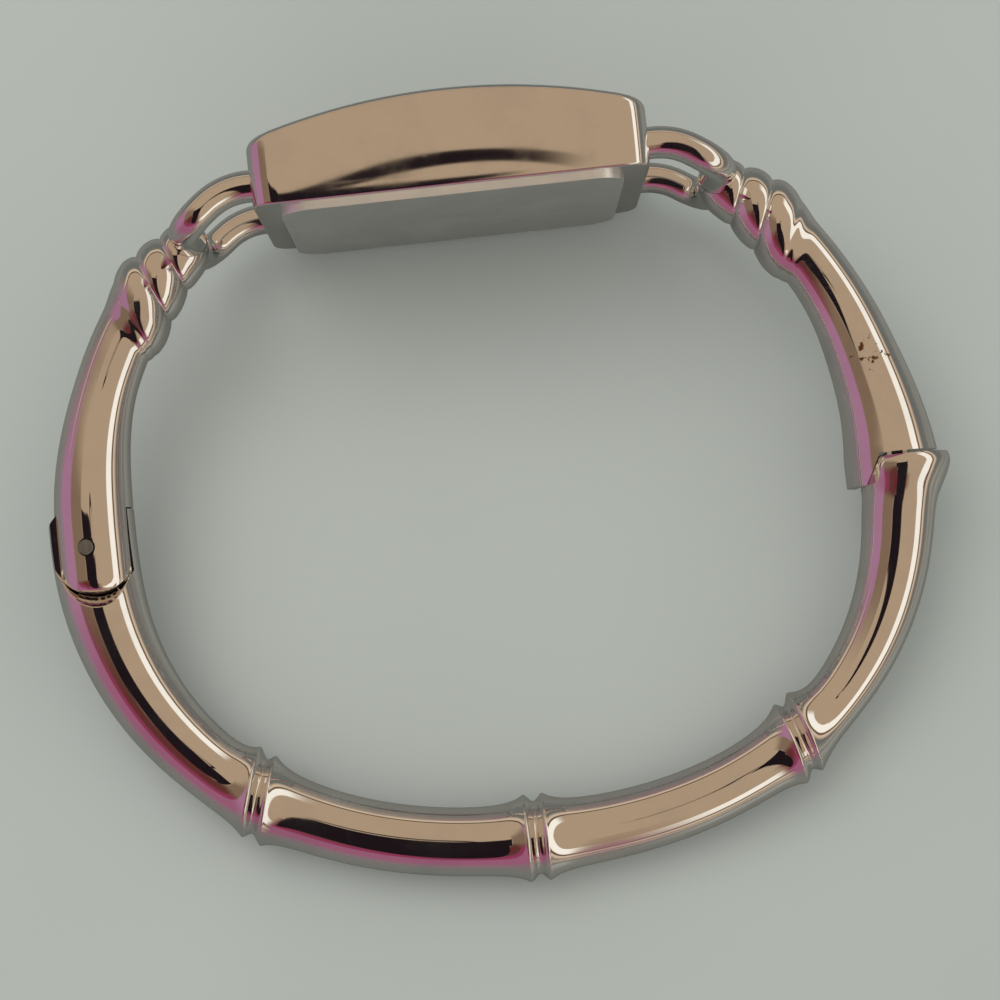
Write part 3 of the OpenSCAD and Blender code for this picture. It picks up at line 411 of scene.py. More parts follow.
class Wiring:
    """Short hand for placing and joining nodes in one tree."""

    def __init__(self, tree: Tree) -> None:
        """Keeps the tree."""
        self.tree = tree

    def add(self, kind: str, **settings: object) -> Node:
        """Adds a node and sets its own properties.

        Args:
            kind: The node's type.
            **settings: Its properties.

        Returns:
            The node.
        """
        node = self.tree.nodes.new(kind)
        for key, value in settings.items():
            setattr(node, key, value)
        return node

    def join(self, source: Socket, target: Socket) -> None:
        """Links two sockets."""
        self.tree.links.new(source, target)

    def feed(self, value: object, target: Socket) -> None:
        """Links a socket, or sets a plain value.

        Args:
            value: Value or socket.
            target: The socket that receives it.
        """
        if isinstance(value, Socket):
            self.join(value, target)
        else:
            target.default_value = value

    def fill(self, sockets: Sockets, values: dict[str, object]) -> None:
        """Feeds several sockets by their names.

        Args:
            sockets: The sockets of one node.
            values: A value or socket for each name.
        """
        for key, value in values.items():
            self.feed(value, sockets[key])

    def split(self, vector: object) -> Sequence[Socket]:
        """Three parts of a vector.

        Args:
            vector: Coordinates, as a socket.

        Returns:
            The sockets of its x, y and z.
        """
        node = self.add("ShaderNodeSeparateXYZ")
        self.feed(vector, node.inputs[0])
        return node.outputs[:]

    def merge(self, *parts: object) -> Socket:
        """Vector made of up to three parts.

        Args:
            *parts: Values or sockets for x, y and z.

        Returns:
            The vector's socket.
        """
        node = self.add("ShaderNodeCombineXYZ")
        for part, socket in zip(parts, node.inputs):
            self.feed(part, socket)
        return node.outputs[0]

    def math(self, operation: str, *values: object, clamp: bool = False) -> Socket:
        """Math node of up to three values.

        Args:
            operation: The node's operation.
            *values: Values or sockets.
            clamp: True to hold the result between 0 and 1.

        Returns:
            The result's socket.
        """
        node = self.add("ShaderNodeMath", operation=operation, use_clamp=clamp)
        for value, socket in zip((*values, 0.0, 0.0)[:3], node.inputs):
            self.feed(value, socket)
        return node.outputs[0]

    def plus(self, a: object, b: object, clamp: bool = False) -> Socket:
        """Sum of two values."""
        return self.math("ADD", a, b, clamp=clamp)

    def minus(self, a: object, b: object, clamp: bool = False) -> Socket:
        """First value less the second."""
        return self.math("SUBTRACT", a, b, clamp=clamp)

    def times(self, a: object, b: object, clamp: bool = False) -> Socket:
        """Product of two values."""
        return self.math("MULTIPLY", a, b, clamp=clamp)

    def over(self, a: object, b: object) -> Socket:
        """First value divided by the second."""
        return self.math("DIVIDE", a, b)

    def scaled(self, a: object, b: object, c: object, clamp: bool = False) -> Socket:
        """Product of two values plus a third."""
        return self.math("MULTIPLY_ADD", a, b, c, clamp=clamp)

    def larger(self, a: object, b: object) -> Socket:
        """Larger of two values."""
        return self.math("MAXIMUM", a, b)

    def size(self, a: object) -> Socket:
        """Value without its sign."""
        return self.math("ABSOLUTE", a)

    def noise(self, vector: object, scale: object, detail: float = 2.0, rough: float = 0.5) -> Socket:
        """Noise texture's value.

        Args:
            vector: Coordinates, as a socket.
            scale: Its scale.
            detail: Number of octaves.
            rough: Their roughness.

        Returns:
            The socket of its value.
        """
        node = self.add("ShaderNodeTexNoise")
        self.fill(node.inputs, {"Vector": vector, "Scale": scale, "Detail": detail, "Roughness": rough})
        return node.outputs["Fac"]

    def mapped(self, vector: object, scale: Place = (1, 1, 1), turn: Place = (0, 0, 0)) -> Socket:
        """Coordinates scaled and turned.

        Args:
            vector: Coordinates, as a socket.
            scale: Factors along the axes.
            turn: Rotation in radians.

        Returns:
            The changed coordinates.
        """
        node = self.add("ShaderNodeMapping")
        self.fill(node.inputs, {"Vector": vector, "Scale": scale, "Rotation": turn})
        return node.outputs[0]

    def ramp(self, value: object, low: float, high: float) -> Socket:
        """Value mapped to 0 at low and 1 at high, held beyond.

        Args:
            value: Value or socket.
            low: Where it is 0.
            high: Where it is 1.

        Returns:
            The mapped value.
        """
        node = self.add("ShaderNodeMapRange", interpolation_type="SMOOTHSTEP")
        self.fill(node.inputs, {"Value": value, "From Min": low, "From Max": high})
        return node.outputs[0]

    def mix(self, factor: object, a: object, b: object) -> Socket:
        """Colour mixed by a factor.

        Args:
            factor: Share of the second colour.
            a: First colour.
            b: Second colour.

        Returns:
            The mixed colour.
        """
        node = self.add("ShaderNodeMix", data_type="RGBA")
        for value, socket in ((factor, node.inputs[0]), (a, node.inputs[6]), (b, node.inputs[7])):
            self.feed((*value, 1) if isinstance(value, tuple) else value, socket)
        return node.outputs[2]

    def group(self, tree: Tree, vector: object, **values: float) -> Sockets:
        """Places a node group with its own values and gives its outputs.

        Args:
            tree: The group.
            vector: Coordinates, as a socket.
            **values: Values of its inputs.

        Returns:
            The outputs of its node.
        """
        node = self.add("ShaderNodeGroup", node_tree=tree)
        self.fill(node.inputs, {"Vector": vector, **values})
        return node.outputs


class Effects:
    """Shader groups that several finishes share."""

    def __init__(self) -> None:
        """Builds each group once."""
        self.hairlines = self.make_hairlines()
        self.smudge = self.make_smudge()
        self.specks = self.make_specks()
        self.grain = self.make_grain()
        self.rings = self.make_rings()

    def make_hairlines(self) -> Tree:
        """Fine crossing wear scratches: a height and a mask.

        Returns:
            The finished group.
        """
        w, given, gives = new_group("wear_hairlines", {"Scale": 900.0, "Density": 0.5}, ["Height", "Mask"])
        place = given["Vector"]
        total: object = 0.0
        for stretch, turn in (((1.0, 0.05, 1.0), 0.3), ((0.06, 1.0, 1.0), 1.1), ((1.0, 1.0, 0.05), 2.0)):
            drawn = w.mapped(place, stretch, (turn * 0.7, turn, turn * 1.3))
            sharp = w.ramp(w.noise(drawn, given["Scale"], detail=1.0), 0.68, 0.74)
            patch = w.ramp(w.noise(place, 120 + 60 * turn, detail=1.0), 0.45, 0.62)
            total = w.plus(total, w.times(sharp, patch))
        mask = w.times(total, given["Density"], clamp=True)
        w.fill(gives, {"Mask": mask, "Height": w.minus(1.0, mask)})
        return w.tree

    def make_smudge(self) -> Tree:
        """Soft handling marks for roughness.

        Returns:
            The finished group.
        """
        levels = {"Scale": 160.0, "Low": 0.05, "High": 0.12}
        w, given, gives = new_group("handling_smudge", levels, ["Roughness", "Mask"])
        mask = w.ramp(w.noise(given["Vector"], given["Scale"], detail=4.0, rough=0.6), 0.42, 0.68)
        span = w.minus(given["High"], given["Low"])
        w.fill(gives, {"Mask": mask, "Roughness": w.scaled(mask, span, given["Low"])})
        return w.tree

    def make_specks(self) -> Tree:
        """Small stain specks that gather round one place.

        Returns:
            The finished group.
        """
        centre = {"X": 0.0, "Y": 0.0, "Z": 0.0}
        w, given, gives = new_group("stain_specks", {"Scale": 1400.0, "Reach": 0.004, **centre}, ["Mask"])
        away = w.add("ShaderNodeVectorMath", operation="DISTANCE")
        w.join(given["Vector"], away.inputs[0])
        w.join(w.merge(*(given[axis] for axis in centre)), away.inputs[1])
        near = w.minus(1.0, w.over(away.outputs["Value"], given["Reach"]), clamp=True)
        dots = w.noise(given["Vector"], given["Scale"], detail=2.0, rough=0.6)
        level = w.scaled(near, 0.2, dots)
        w.join(w.times(w.ramp(level, 0.66, 0.72), w.ramp(near, 0.0, 0.15)), gives["Mask"])
        return w.tree

    def make_grain(self) -> Tree:
        """Long brushed or ground lines along X.

        Returns:
            The finished group.
        """
        w, given, gives = new_group("brushed_grain", {"Scale": 3000.0, "Length": 0.02}, ["Height"])
        x, y, z = w.split(given["Vector"])
        drawn = w.merge(w.times(x, given["Length"]), y, z)
        w.join(w.noise(drawn, given["Scale"], detail=3.0, rough=0.65), gives["Height"])
        return w.tree

    def make_rings(self) -> Tree:
        """Concentric lines round an axis, given by the distance from it.

        Returns:
            The finished group.
        """
        w, given, gives = new_group("turned_rings", {"Scale": 9000.0, "Wobble": 0.2}, ["Height"])
        length = w.add("ShaderNodeVectorMath", operation="LENGTH")
        w.join(given["Vector"], length.inputs[0])
        drift = w.times(w.noise(given["Vector"], 400.0), given["Wobble"])
        phase = w.scaled(length.outputs["Value"], given["Scale"], drift)
        w.join(w.scaled(w.math("SINE", phase), 0.5, 0.5), gives["Height"])
        return w.tree


# ---------------------------------------------------------------- finishes


class Texture(Enum):
    """Kind of fine surface that a plain finish carries."""

    BRUSHED = "brushed"
    TURNED = "turned"
    STIPPLED = "stippled"


@dataclass(frozen=True)
class Finish:
    """A finish's common part: its name and its material slot in the record."""

    name: str
    slot: str

    def start(self) -> tuple[Material, Wiring, Sockets, Socket]:
        """New material with its wiring, its shader's inputs and Object coordinates.

        Returns:
            The material, its wiring, the shader's inputs and the coordinates.
        """
        material = bpy.data.materials.new(self.name)
        material.use_nodes = True
        w = Wiring(material.node_tree)
        look = material.node_tree.nodes["Principled BSDF"].inputs
        return material, w, look, w.add("ShaderNodeTexCoord").outputs["Object"]

    def bump(self, w: Wiring, look: Sockets, height: object, strength: float, distance: float) -> None:
        """Feeds a height into the shader's normal.

        Args:
            w: The material's wiring.
            look: The shader's inputs.
            height: The height.
            strength: Strength of the relief.
            distance: Depth of the relief in metres.
        """
        node = w.add("ShaderNodeBump")
        w.fill(node.inputs, {"Strength": strength, "Distance": distance, "Height": height})
        w.join(node.outputs[0], look["Normal"])


@dataclass(frozen=True)
class PolishedMetal(Finish):
    """Bright plated metal with handling marks, hairlines and a few stain specks."""

    tint: Colour = (0.9, 0.875, 0.84)
    stain: Colour = (0.22, 0.12, 0.05)
    stain_at: Place = (0.0, 1.0, 0.0)
    stain_reach: float = 0.004
    smoothest: float = 0.035
    roughest: float = 0.085

    def make(self, effects: Effects) -> Material:
        """Builds the material.

        Args:
            effects: The shared shader groups.

        Returns:
            The material.
        """
        material, w, look, place = self.start()
        smudge = w.group(effects.smudge, place, Scale=170.0, Low=self.smoothest, High=self.roughest)
        lines = w.group(effects.hairlines, place, Scale=850.0, Density=0.5)
        x, y, z = self.stain_at
        specks = w.group(effects.specks, place, Scale=1500.0, Reach=self.stain_reach, X=x, Y=y, Z=z)["Mask"]
        clean = w.mix(smudge["Mask"], self.tint, dimmed(self.tint, 0.93))
        rough = w.plus(smudge["Roughness"], w.times(lines["Mask"], 0.08))
        w.fill(look, {"Base Color": w.mix(specks, clean, self.stain), "Metallic": 1.0,
                      "Roughness": w.scaled(specks, 0.4, rough, clamp=True)})
        self.bump(w, look, lines["Height"], 0.05, 0.00001)
        return material


@dataclass(frozen=True)
class PlainFinish(Finish):
    """Metal, rubber or plastic with one kind of fine texture."""

    colour: Colour = (0.6, 0.6, 0.6)
    second: Colour = (0.5, 0.5, 0.5)
    metallic: float = 1.0
    rough_low: float = 0.25
    rough_high: float = 0.4
    texture: Texture = Texture.BRUSHED
    turn: Place = (0.0, 0.0, 0.0)
    scale: float = 3000.0
    relief: float = 0.15
    relief_depth: float = 0.00001

    def make(self, effects: Effects) -> Material:
        """Builds the material.

        Args:
            effects: The shared shader groups.

        Returns:
            The material.
        """
        material, w, look, place = self.start()
        if any(self.turn):
            place = w.mapped(place, turn=self.turn)
        if self.texture is Texture.BRUSHED:
            height = w.group(effects.grain, place, Scale=self.scale, Length=0.03)["Height"]
        elif self.texture is Texture.TURNED:
            flat = w.mapped(place, (1, 0, 1))
            height = w.group(effects.rings, flat, Scale=self.scale, Wobble=1.5)["Height"]
        else:
            height = w.noise(place, self.scale, detail=3.0)
        smudge = w.group(effects.smudge, place, Scale=240.0, Low=self.rough_low, High=self.rough_high)
        worn = w.scaled(height, 0.6, w.times(smudge["Mask"], 0.4))
        w.fill(look, {"Base Color": w.mix(worn, self.colour, self.second),
                      "Roughness": smudge["Roughness"], "Metallic": self.metallic})
        self.bump(w, look, height, self.relief, self.relief_depth)
        return material


@dataclass(frozen=True)
class MineralGlass(Finish):
    """Clear curved crystal."""

    tint: Colour = (0.96, 0.985, 0.98)

    def make(self, effects: Effects) -> Material:
        """Builds the material.

        Args:
            effects: The shared shader groups.

        Returns:
            The material.
        """
        material, w, look, place = self.start()
        smudge = w.group(effects.smudge, place, Scale=130.0, Low=0.01, High=0.035)
        w.fill(look, {"Base Color": w.mix(smudge["Mask"], self.tint, dimmed(self.tint, 0.99)),
                      "Roughness": smudge["Roughness"], "Transmission Weight": 1.0, "IOR": 1.5})
        return material


@dataclass(frozen=True)
class DialFinish(Finish):
    """Opaline dial with fine rays from its middle and a printed minute track."""

    colour: Colour = (0.83, 0.8, 0.73)
    ink: Colour = (0.08, 0.07, 0.06)
    half_x: float = 0.0108
    half_z: float = 0.0061
    line: float = 0.00009
    inner_line: float = 0.0006
    outer_line: float = 0.0001
    minute: float = math.pi / 60
    tick: float = 0.012

    def make(self, effects: Effects) -> Material:
        """Builds the material.

        Args:
            effects: The shared shader groups; not used.

        Returns:
            The material.
        """
        material, w, look, place = self.start()
        x, _, z = w.split(place)
        angle = w.math("ARCTAN2", z, x)
        sheen = w.noise(w.merge(w.times(angle, 40.0)), 3.0, detail=3.0)
        edge = w.larger(w.minus(w.size(x), self.half_x), w.minus(w.size(z), self.half_z))
        track = w.math("LESS_THAN", w.size(w.plus(edge, self.inner_line)), self.line)
        second = w.math("LESS_THAN", w.size(w.plus(edge, self.outer_line)), self.line * 0.7)
        tick = w.math("LESS_THAN", w.size(w.math("PINGPONG", angle, self.minute)), self.tick)
        band = w.times(w.math("GREATER_THAN", edge, -self.inner_line),
                       w.math("LESS_THAN", edge, -self.outer_line))
        ink = w.plus(w.plus(track, second), w.times(tick, band), clamp=True)
        base = w.mix(sheen, self.colour, dimmed(self.colour, 0.93))
        w.fill(look, {"Base Color": w.mix(ink, base, self.ink), "Roughness": w.scaled(sheen, 0.12, 0.3),
                      "Metallic": w.times(w.minus(1.0, ink), 0.35)})
        self.bump(w, look, sheen, 0.05, 0.00001)
        return material


@dataclass(frozen=True)
class WoundCopper(Finish):
    """Fine enamelled wire wound round Z, with painted shade in the hollows between turns."""

    colour: Colour = (0.5, 0.19, 0.07)
    pitch: float = 0.00005

    def make(self, effects: Effects) -> Material:
        """Builds the material.

        Args:
            effects: The shared shader groups; not used.

        Returns:
            The material.
        """
        material, w, look, place = self.start()
        turns = w.math("SINE", w.times(w.split(place)[2], math.tau / self.pitch))
        height = w.scaled(turns, 0.5, 0.5)
        # The base colour is darker where the height is low: painted shade between the turns.
        w.fill(look, {"Base Color": w.mix(height, dimmed(self.colour, 0.6), self.colour),
                      "Roughness": w.scaled(height, -0.15, 0.45), "Metallic": 0.8})
        self.bump(w, look, height, 0.3, 0.00002)
        return material


@dataclass
class FinishBook:
    """All finishes, made once and looked up by slot."""

    effects: Effects
    made: dict[str, Material] = field(default_factory=dict)

    def fill(self) -> None:
        """Makes each finish."""
        lying = (math.pi / 2, 0.0, 0.0)
        finishes = [
            PolishedMetal("polished_plating", "polished_steel", stain_at=(0.0315, -0.0148, 0.0025),
                          stain_reach=0.0019),
            PolishedMetal("bright_plating", "bright_trim", tint=(0.9, 0.89, 0.86), smoothest=0.05,
                          roughest=0.12),
            PlainFinish("brushed_case_back", "brushed_back", colour=(0.9, 0.88, 0.85),
                        second=(0.76, 0.745, 0.72), metallic=0.85, rough_low=0.3, rough_high=0.42,
                        relief=0.3),
            PlainFinish("seal_rubber", "rubber_seal", colour=(0.05, 0.05, 0.055), second=(0.03, 0.03, 0.03),
                        metallic=0.0, rough_low=0.5, rough_high=0.7, texture=Texture.STIPPLED, relief=0.2),
            MineralGlass("mineral_crystal", "mineral_glass"),
            DialFinish("opaline_dial", "dial_face"),
            PlainFinish("gear_brass", "gear_brass", colour=(0.74, 0.55, 0.26), second=(0.62, 0.44, 0.18),
                        texture=Texture.TURNED, rough_low=0.2, rough_high=0.32),
            PlainFinish("bridge_plate", "plate_metal", colour=(0.66, 0.63, 0.56), second=(0.5, 0.48, 0.42),
                        turn=lying, texture=Texture.TURNED, scale=14000.0),
            PlainFinish("holder_plastic", "holder_plastic", colour=(0.82, 0.81, 0.76),
                        second=(0.74, 0.73, 0.69), metallic=0.0, rough_low=0.4, rough_high=0.55,
                        texture=Texture.STIPPLED, scale=2500.0),
            PlainFinish("solder_mask", "board_green", colour=(0.05, 0.2, 0.11), second=(0.035, 0.14, 0.08),
                        metallic=0.0, rough_low=0.25, rough_high=0.4, scale=1800.0),
            WoundCopper("wound_copper", "coil_copper"),
            PlainFinish("plain_steel", "steel_plain", colour=(0.55, 0.55, 0.55), second=(0.42, 0.42, 0.42),
                        texture=Texture.TURNED, scale=12000.0, rough_low=0.2, rough_high=0.35),
        ]
        for finish in finishes:
            self.made[finish.slot] = finish.make(self.effects)
            log.info("finish %s for slot %s", finish.name, finish.slot)

    def dress(self, piece: Piece, slot: str) -> None:
        """Gives a piece one finish all over."""
        piece.data.materials.clear()
        piece.data.materials.append(self.made[slot])


def hand_over(piece: Piece, name: str, body: str, slot: str, nodes: Sequence[str], book: FinishBook,
              angle: float = 50.0) -> Piece:
    """Finishes a new piece: shading, material, body and the nodes it stands for.

    Args:
        piece: The piece, complete and in place.
        name: Its name.
        body: Body that it rides on.
        slot: Material slot that it takes its finish from.
        nodes: CAD nodes that it replaces.
        book: The finishes.
        angle: Edges sharper than this stay sharp, in degrees.

    Returns:
        The piece.
    """
    settle(piece)
    piece.name = piece.data.name = name
    activate(piece)
    bpy.ops.object.shade_smooth_by_angle(angle=math.radians(angle))
    book.dress(piece, slot)
    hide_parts(*nodes)
    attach(piece, body)
    log.info("piece %s: %d faces", name, len(piece.data.polygons))
    return piece


# ---------------------------------------------------------------- the bangle


@dataclass(frozen=True)
class BangleSizes:
    """Sizes that the arms, the stirrups and the lower bangle share, in millimetres."""

    low_hinge_w: float = 31.5
    low_clasp_w: float = 32.9
    low_offset: float = 1.1
    low_drop: float = 27.1
    hinge_fullness: float = 2.2
    clasp_fullness: float = 2.29
    arm_hinge_w: float = 31.3
    arm_clasp_w: float = 32.1
    arm_rise: float = 29.1
    arm_fullness: float = 2.27
    back_over_hinge: float = 22.9
    tube_d: float = 5.4
    neck_d: float = 4.4
    ridge_d: float = 6.95
    groove_d: float = 5.75
    ridge_pitch: float = 1.6
    flare_length: float = 1.15
    node_spread: float = 21.5
    ring_lean: float = 0.5
    knot_spread: float = 23.8
    knot_pitch: float = 2.55
    bead_a_d: float = 4.6
    bead_b_d: float = 5.6
    bead_c_d: float = 6.4
    bead_groove: float = 0.55
    bead_tail: float = 0.4
    bead_steepness: float = 0.95
    knot_fade: float = 1.6
    arm_d: float = 4.95
    clasp_swell: float = 16.0
    hinge_swell: float = 12.0
    stirrup_d: float = 2.5
    stirrup_span: float = 14.0
    leg_bend_r: float = 5.4
    corner_r: float = 2.3
    link_len: float = 0.4
    leg_y: float = 2.9
    leg_from_x: float = 13.45
    eye_inset: float = 0.85
    cheek_d: float = 6.3
    collar_d: float = 6.85
    pin_drop: float = 0.45
    pin_out: float = 0.15
    pin_d: float = 1.2
    tongue_t: float = 2.8
    slot_t: float = 2.9
    knuckle_r: float = 3.7
    cheek_end_r: float = 3.85
    cheek_round_r: float = 3.5
    cheek_shift: Flat = (0.5, -0.15)
    rim_w: float = 1.3
    rim_depth: float = 1.5
    hinge_gap: float = 0.12
    shoulder_drop: float = 1.3
    horn_from: float = 1.9
    horn_top: float = 2.8
    clasp_d: float = 7.5
    upper_lean: float = 0.5
    lower_lean: float = 0.7
    lean_length: float = 5.0
    clasp_gap: float = 0.2
    lip_length: float = 2.3
    lip_root_t: float = 2.3
    lip_end_t: float = 1.15
    leaf_w: float = 3.0
    leaf_fold_t: float = 1.6
    leaf_rise: float = 2.8
    leaf_seat: float = 2.2
    leaf_fit: float = 0.2
    leaf_off: float = 0.3
    rivet_d: float = 0.8
    low_start: float = 3.6
    flare_extra: float = 0.65
    clasp_flare: float = 3.0
    edge_round: float = 0.25
    edge_length: float = 0.8
    slope_reach: float = 0.3
    skew_fade: float = 5.0
    clasp_power: float = 1.5
    hinge_swell_from: float = 2.0
    collar_from: float = 3.0
    collar_length: float = 19.0
    collar_power: float = 1.15
    slim_length: float = 4.0
    swell_from: float = 3.0
    node_reach: float = 8.0
    node_flat: float = 1.0
    node_fade: float = 6.0
    bore_fit: float = 0.01
    pin_fit: float = 0.03
    lip_gap: float = 0.15
    lip_end_gap: float = 0.35
    rivet_len: float = 4.6
    chamfer_from: float = 0.05
    chamfer_to: float = 0.35
    chamfer_length: float = 0.7
    past: float = 9.0
    through: float = 20.0

    @property
    def pin(self) -> Flat:
        """The hinge pin's place in the frame."""
        return -self.low_hinge_w - self.pin_out, -self.pin_drop - self.back_over_hinge

    @property
    def knots_from(self) -> float:
        """Where the knots begin, from the middle bead."""
        return -1.5 * self.knot_pitch - self.bead_tail

    @property
    def hinge_y(self) -> float:
        """Height of the line through the hinge and the clasp."""
        return -self.back_over_hinge

    @property
    def upper_end_x(self) -> float:
        """Middle of the clasp arm's end face."""
        return self.arm_clasp_w + self.upper_lean

    @property
    def flare_in_x(self) -> float:
        """Inner side of the clasp arm's end face."""
        return self.upper_end_x - self.clasp_d / 2

    @property
    def leaf_x(self) -> float:
        """Middle of the spring tongue."""
        return self.upper_end_x + self.leaf_off


@dataclass(frozen=True)
class Sections:
    """Where the tubes' sections lie: counts, and lengths in millimetres unless a comment says otherwise."""

    arm_arc: float = 56.0  # degrees
    arm_steps: int = 400
    under_hinge_arm: tuple[float, ...] = (4.6, 3.0, 1.5)
    under_clasp_arm: tuple[float, ...] = (3.7, 2.4, 1.2)
    arm_plain: int = 26
    arm_fade: int = 6
    beads: tuple[float, ...] = (  # knot pitches
        -1.5, -1.4, -1.3, -1.15, -1, -0.85, -0.7, -0.6, -0.54, -0.5, -0.46, -0.4, -0.3,
        -0.15, 0, 0.15, 0.3, 0.4, 0.46, 0.5, 0.54, 0.6, 0.7, 0.85, 1)
    cap: tuple[float, ...] = (15, 30, 45, 60, 72, 82, 87)  # degrees
    quarter_steps: int = 360
    at_hinge: tuple[float, ...] = (0.0, 1.0, 2.2, 3.3)
    node: tuple[float, ...] = (0.0, 0.12, 0.28, 0.45, 0.6, 0.72, 0.8, 0.9, 1.1, 1.4, 1.8, 2.3, 3.0, 4.2)
    between: int = 9
    at_clasp: tuple[float, ...] = (5.5, 4.6, 3.8, 3.1, 2.4, 1.7, 1.1, 0.8, 0.6, 0.4, 0.22, 0.1, 0.03, 0.0)


SECTIONS = Sections()


class UpperArm:
    """One upper arm: a tube with three knot beads, an eye for the stirrup and a hinge or clasp end."""

    def __init__(self, sizes: BangleSizes, at_clasp: bool) -> None:
        """Draws the arm's route on the +X side.

        Args:
            sizes: The shared sizes.
            at_clasp: True for the arm with the clasp, False for the one with the hinge.
        """
        self.sizes = sizes
        self.at_clasp = at_clasp
        half_w = sizes.arm_clasp_w if at_clasp else sizes.arm_hinge_w
        steps = SECTIONS.arm_steps
        angles = [SECTIONS.arm_arc * i / steps for i in range(steps + 1)]
        self.route = Route([oval_point(a, half_w, sizes.arm_rise, sizes.arm_fullness) for a in angles])
        self.knot_at = self.route.run_at_x(sizes.knot_spread)
        middle = self.route.slope(self.knot_at)
        self.ring_turn = middle + (180 - middle) * sizes.ring_lean

    def bead_radius(self, d: float) -> float:
        """Radius of the beads at a distance from the middle one, towards the case.

        Args:
            d: The distance in millimetres.

        Returns:
            The radius in millimetres.
        """
        z = self.sizes
        radii = [(-z.knot_pitch, z.bead_c_d / 2), (0.0, z.bead_b_d / 2), (z.knot_pitch, z.bead_a_d / 2)]
        nearest = min(1, max(-1, round(d / z.knot_pitch))) * z.knot_pitch
        half = z.knot_pitch / 2 + (z.bead_tail if d < -z.knot_pitch else 0)
        off = z.bead_steepness * min(1.0, abs(d - nearest) / half)
        held = min(max(d, -z.knot_pitch), z.knot_pitch)
        low = radii[0] if held <= 0 else radii[1]
        high = radii[1] if held <= 0 else radii[2]
        plain = low[1] + (high[1] - low[1]) * (held - low[0]) / (high[0] - low[0])
        return plain - z.bead_groove * (1 - math.sqrt(1 - off * off))

    def base_radius(self, s: float) -> float:
        """Radius of the tube under the knots.

        Args:
            s: Running length in millimetres.

        Returns:
            The radius in millimetres.
        """
        z = self.sizes
        if self.at_clasp:
            return z.arm_d / 2 + (z.clasp_d - z.arm_d) / 2 * max(0.0, 1 - s / z.clasp_swell) ** z.clasp_power
        past = smooth_step((s - z.hinge_swell_from) / z.hinge_swell)
        return z.arm_d / 2 + (z.cheek_d - z.arm_d) / 2 * (1 - past)

    def radius(self, s: float) -> float:
        """Radius at a running length.

        Args:
            s: Running length in millimetres.

        Returns:
            The radius in millimetres.
        """
        d, under = s - self.knot_at, self.sizes.knots_from
        if d >= under:
            return self.bead_radius(d)
        t = smooth_step((under - d) / self.sizes.knot_fade)
        return (1 - t) * self.bead_radius(under) + t * self.base_radius(s)

    def ring(self, s: float, radius: float | None = None) -> Ring:
        """Section at a running length, in the frame.

        Args:
            s: Running length in millimetres.
            radius: Its radius, where it isn't the tube's own.

        Returns:
            The section.
        """
        z = self.sizes
        x, y = self.route.at(s)
        slope = self.route.slope(max(s, z.slope_reach)) if s > 0 else 90.0
        past = (abs(s - self.knot_at) - 1.5 * z.knot_pitch) / z.skew_fade
        skew = (slope - self.ring_turn) * (1 - smooth_step(past))
        if self.at_clasp:
            x += z.upper_lean * (1 - smooth_step(s / (2 * z.lean_length)))
        return Ring(x, y + z.hinge_y, slope, skew, self.radius(s) if radius is None else radius)

    def rings(self) -> list[Ring]:
        """All sections, from below the end face to the cap over the stirrup's bar.

        Returns:
            The sections in order.
        """
        z = self.sizes
        end = self.radius(0)
        lean = z.upper_lean if self.at_clasp else 0.0
        extra = SECTIONS.under_clasp_arm if self.at_clasp else SECTIONS.under_hinge_arm
        x0, y0 = self.route.at(0)
        out = [Ring(x0 + lean, y0 - e + z.hinge_y, 90, 0, end) for e in extra]
        under = self.knot_at + z.knots_from
        plain, fade = SECTIONS.arm_plain, SECTIONS.arm_fade
        out += [self.ring((under - z.knot_fade) * i / plain) for i in range(plain + 1)]
        out += [self.ring(under + z.knot_fade * (i / fade - 1)) for i in range(1, fade + 1)]
        out += [self.ring(self.knot_at + d * z.knot_pitch) for d in SECTIONS.beads]
        last = self.knot_at + z.knot_pitch
        cap = z.bead_a_d / 2
        base = self.ring(last)
        for a in SECTIONS.cap:
            s = last + cap * math.sin(math.radians(a))
            x, y = self.route.at(s)
            out.append(Ring(x, y + z.hinge_y, base.slope, base.skew, cap * math.cos(math.radians(a))))
        return out

    def eye(self) -> Flat:
        """Place of the stirrup's cross bar, in the frame, on the +X side.

        Returns:
            Its x and y in millimetres.
        """
        z = self.sizes
        x, y = self.route.at(self.knot_at + z.knot_pitch + z.eye_inset)
        return x, y + z.hinge_y

    def build(self, book: FinishBook) -> Piece:
        """Makes the arm.

        Args:
            book: The finishes.

        Returns:
            The finished piece.
        """
        z = self.sizes
        name = "clasp_side_arm" if self.at_clasp else "hinge_side_arm"
        arm = soften(sweep(name, self.rings()))
        if not self.at_clasp:
            activate(arm)
            mirror_x()
            settle(arm)
            face_outwards(arm)
        x, y = self.eye()
        side = 1 if self.at_clasp else -1
        combine(arm, rod((side * x, y, 0), z.stirrup_d / 2 + z.bore_fit, z.through))
        if self.at_clasp:
            self.cut_clasp_end(arm)
        else:
            self.cut_hinge_end(arm)
        node = "right_arm" if self.at_clasp else "left_arm"
        return hand_over(arm, name, "watch_head", "polished_steel", [node], book)

